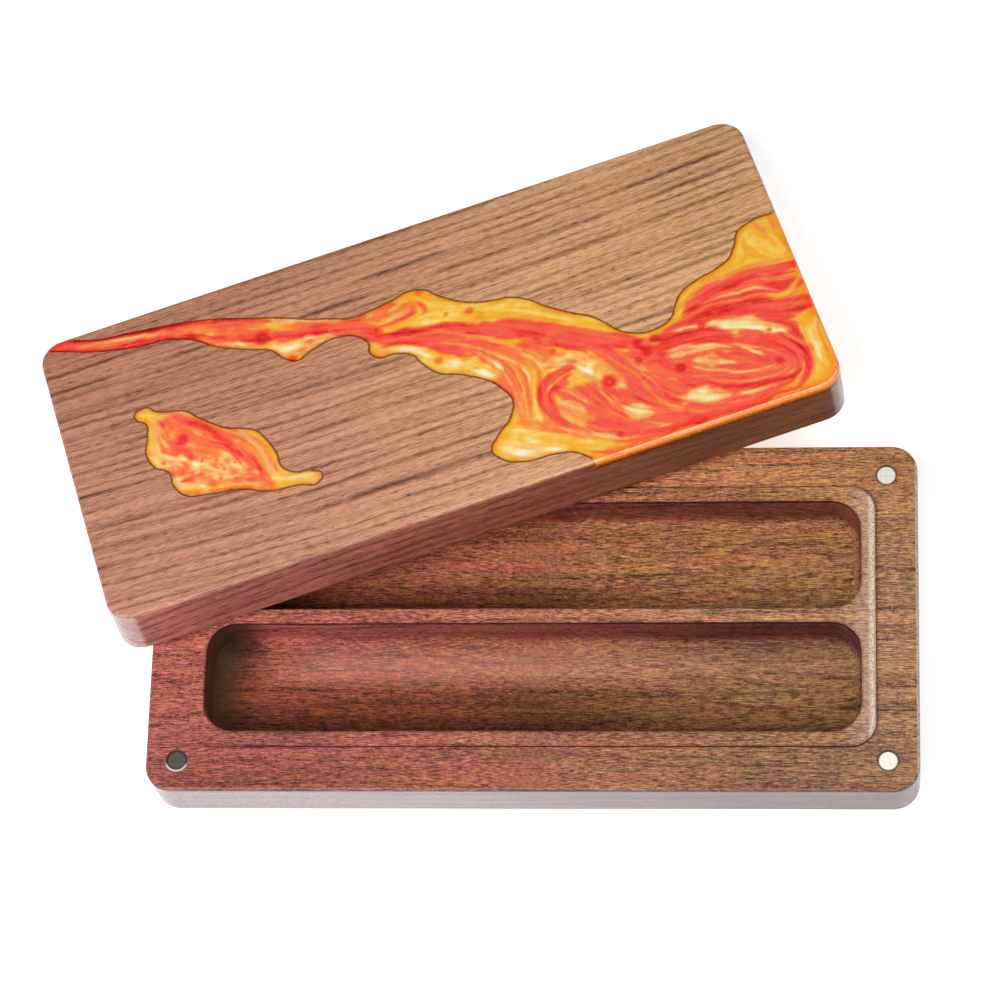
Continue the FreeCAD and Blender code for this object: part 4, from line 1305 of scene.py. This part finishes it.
def resin_material(settings):
    """Glossy resin, coloured by its tone and darker at the wood."""
    resin = Shader("marbled_resin", LID)
    pearl = resin.noise(0.8, 4.0, 0.6, 0.6)
    ragged = resin.noise(1.4)
    tone = resin.attribute("tone") + pearl.sway(0.10)
    red_kind = resin.ramp(tone, (
        (0.00, screen(190, 30, 26)), (0.10, screen(232, 50, 44)), (0.20, screen(251, 74, 62)),
        (0.31, screen(255, 98, 80)), (0.42, screen(255, 112, 72)), (0.54, screen(254, 138, 80)),
        (0.62, screen(253, 172, 102)), (0.75, screen(254, 204, 126)),
        (0.87, screen(255, 232, 162)), (1.00, screen(255, 252, 228))))
    yellow_kind = resin.ramp(tone, (
        (0.00, screen(200, 40, 20)), (0.20, screen(240, 80, 34)), (0.42, screen(248, 116, 34)),
        (0.54, screen(250, 150, 44)), (0.64, screen(252, 170, 46)), (0.72, screen(254, 190, 62)),
        (0.78, screen(255, 208, 94)), (0.87, screen(255, 228, 146)),
        (1.00, screen(255, 250, 220))))
    colour = resin.mix(resin.attribute("amber"), red_kind, yellow_kind)

    # warmer near the banks, and dark at the wood
    shore = resin.attribute("shore") + ragged.sway(0.5)
    colour = resin.tint(colour, (0.86, 0.64, 0.42), shore.fade(0.4, 2.0, 0.7))
    colour = resin.tint(colour, (0.20, 0.09, 0.09),
                        shore.fade(0.1, settings.edge / MM + 0.2, 0.95))

    # towards the lid's outside: deeper, a pale line on the edge that is a painted highlight, amber
    # down the side
    rim = resin.past_outline()
    colour = resin.tint(colour, (1.0, 0.62, 0.25), rim.between(-3.5, -1.0, 0.0, 0.75))
    height = resin.z + ragged.sway(1.4)
    colour = resin.mix(rim.between(-0.35, -0.1), colour, resin.ramp(height.share(12.0, 14.8), (
        (0.0, screen(84, 38, 20)), (0.3, screen(128, 58, 24)), (0.5, screen(206, 100, 28)),
        (0.75, screen(244, 136, 36)), (1.0, screen(250, 166, 90)))))
    # painted highlight along the rounded edge, strongest at the front
    glint = resin.greys(rim.share(-0.80, -0.25), ((0.0, 0.0), (0.4, 1.0), (0.6, 1.0), (1.0, 0.0)))
    glint = (glint * resin.y.between(-HALF_WIDTH + 2.0, -HALF_WIDTH + 7.0, 0.8, 0.15)
             * pearl.between(0.35, 0.65, 0.45, 1.0))
    colour = resin.mix(glint, colour, screen(255, 214, 192))
    return resin.finish(colour, Roughness=0.32, Coat_Weight=0.35, Coat_Roughness=0.08,
                        Specular_IOR_Level=0.25)


# ---------------------------------------------------------------- stage

def stage_floor(glow):
    """Pale floor that the box stands on."""
    mesh = bmesh.new()
    bmesh.ops.create_grid(mesh, x_segments=8, y_segments=8, size=3.0)
    data = bpy.data.meshes.new("floor")
    mesh.to_mesh(data)
    mesh.free()
    floor = bpy.data.objects.new("floor", data)
    bpy.context.scene.collection.objects.link(floor)
    paper = Shader("pale_paper")
    colour = paper.ramp(paper.noise(0.02), ((0.3, (0.88, 0.88, 0.885)), (0.7, (0.92, 0.92, 0.92))))
    data.materials.append(paper.finish(colour, Roughness=0.9, Emission_Color=(1.0, 1.0, 1.0),
                                       Emission_Strength=glow))


def area_light(name, size, power, place, target):
    """Rectangular softbox that points at a target."""
    data = bpy.data.lights.new(name, "AREA")
    data.shape = "RECTANGLE"
    data.size, data.size_y = size
    data.energy = power
    light = bpy.data.objects.new(name, data)
    light.location = place
    light.rotation_euler = (Vector(target) - Vector(place)).to_track_quat("-Z", "Y").to_euler()
    bpy.context.scene.collection.objects.link(light)


def surroundings(strength):
    """Even pale light, darker towards the left."""
    world = bpy.data.worlds.new("studio")
    bpy.context.scene.world = world
    world.use_nodes = True
    sky = Nodes(world.node_tree)
    x = sky.axes(sky.node("TexCoord").outputs["Generated"])[0]
    colour = sky.ramp(x * 0.5 + 0.5, ((0.40, (0.06, 0.05, 0.05)), (0.55, (1.0, 0.99, 0.98))))
    back = sky.node("Background", {"Color": colour, "Strength": strength})
    sky.node("OutputWorld", {"Surface": back.outputs[0]})


def camera(lens):
    """Camera at the photograph's viewing angle."""
    data = bpy.data.cameras.new("camera")
    data.sensor_width = 36.0
    data.lens = lens
    data.clip_start = 0.01
    eye = bpy.data.objects.new("camera", data)
    ahead = Vector(CAMERA_AHEAD).normalized()
    side = ahead.cross(Vector(CAMERA_UP)).normalized()
    turn = Matrix((side, side.cross(ahead), -ahead)).transposed()
    eye.matrix_world = Matrix.Translation(CAMERA_PLACE) @ turn.to_4x4()
    bpy.context.scene.collection.objects.link(eye)
    bpy.context.scene.camera = eye


# ---------------------------------------------------------------- operators

class DICEBOX_OT_base_block(bpy.types.Operator):
    """Finish the base block in red wood"""
    bl_idname = "dice_box.base_block"
    bl_label = "Base block"

    def execute(self, context):
        dress("base_block", base_wood(context.scene.dice_box_wood))
        return {"FINISHED"}


class DICEBOX_OT_lid_block(bpy.types.Operator):
    """Finish the lid block in light brown wood with dark lines"""
    bl_idname = "dice_box.lid_block"
    bl_label = "Lid block"

    def execute(self, context):
        dress("lid_block", lid_wood(context.scene.dice_box_wood))
        return {"FINISHED"}


class DICEBOX_OT_magnets(bpy.types.Operator):
    """Plate the disc magnets in nickel"""
    bl_idname = "dice_box.magnets"
    bl_label = "Magnets"

    def execute(self, context):
        for part in ("base", "lid"):
            plate = nickel(part)
            for corner in CORNERS:
                dress(f"{part}_magnet_{corner}", plate)
        return {"FINISHED"}


class DICEBOX_OT_resin(bpy.types.Operator):
    """Pour the marbled river and pool of resin into the lid's top"""
    bl_idname = "dice_box.resin"
    bl_label = "Resin inlays"

    def execute(self, context):
        settings = context.scene.dice_box_resin
        material = resin_material(settings)
        river = resin_piece("marbled_river", "resin_river", AMBER, RIVER_STREAKS,
                            RIVER_MOTTLES, RIVER_BUBBLES, settings)
        pool = resin_piece("marbled_pool", "resin_pool", PEACH, POOL_STREAKS,
                           POOL_MOTTLES, POOL_BUBBLES, settings)
        for piece, node in ((river, "resin_river"), (pool, "resin_pool")):
            piece.data.materials.append(material)
            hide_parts(node)
            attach(piece, "lid")
        return {"FINISHED"}


class DICEBOX_OT_stage(bpy.types.Operator):
    """Set up the floor, the soft light and the camera"""
    bl_idname = "dice_box.stage"
    bl_label = "Stage"

    def execute(self, context):
        settings = context.scene.dice_box_studio
        stage_floor(settings.floor_glow)
        surroundings(settings.sky)
        area_light("softbox", (0.62, 0.62), settings.softbox,
                   (0.29, 0.12, 1.0), (0.29, 0.12, 0.0))
        area_light("front_light", (0.9, 0.7), settings.fill,
                   (-0.45, -0.55, 1.15), (0.0, 0.0, 0.0))
        camera(settings.lens)
        context.scene.view_settings.view_transform = "Standard"
        context.scene.view_settings.look = "None"
        return {"FINISHED"}


class VIEW3D_PT_dice_box(bpy.types.Panel):
    """Lists the pieces of the dice box and their settings"""
    bl_label = "Dice Box"
    bl_idname = "VIEW3D_PT_dice_box"
    bl_space_type = "VIEW_3D"
    bl_region_type = "UI"
    bl_category = "Dice Box"

    def draw(self, context):
        for operator in OPERATORS:
            self.layout.operator(operator.bl_idname)
        for title in SETTINGS:
            group = getattr(context.scene, title)
            box = self.layout.box()
            for name in group.bl_rna.properties.keys():
                if name not in ("rna_type", "name"):
                    box.prop(group, name)


SETTINGS = {"dice_box_wood": DiceBoxWood, "dice_box_resin": DiceBoxResin,
            "dice_box_studio": DiceBoxStudio}
OPERATORS = (DICEBOX_OT_base_block, DICEBOX_OT_lid_block, DICEBOX_OT_magnets,
             DICEBOX_OT_resin, DICEBOX_OT_stage)
CLASSES = (*SETTINGS.values(), *OPERATORS, VIEW3D_PT_dice_box)


def register():
    for cls in CLASSES:
        bpy.utils.register_class(cls)
    for title, group in SETTINGS.items():
        setattr(bpy.types.Scene, title, PointerProperty(type=group))


def unregister():
    for title in SETTINGS:
        delattr(bpy.types.Scene, title)
    for cls in reversed(CLASSES):
        bpy.utils.unregister_class(cls)


def main():
    register()
    bpy.ops.dice_box.base_block()
    bpy.ops.dice_box.lid_block()
    bpy.ops.dice_box.magnets()
    bpy.ops.dice_box.resin()
    bpy.ops.dice_box.stage()


if __name__ == "__main__":
    main()
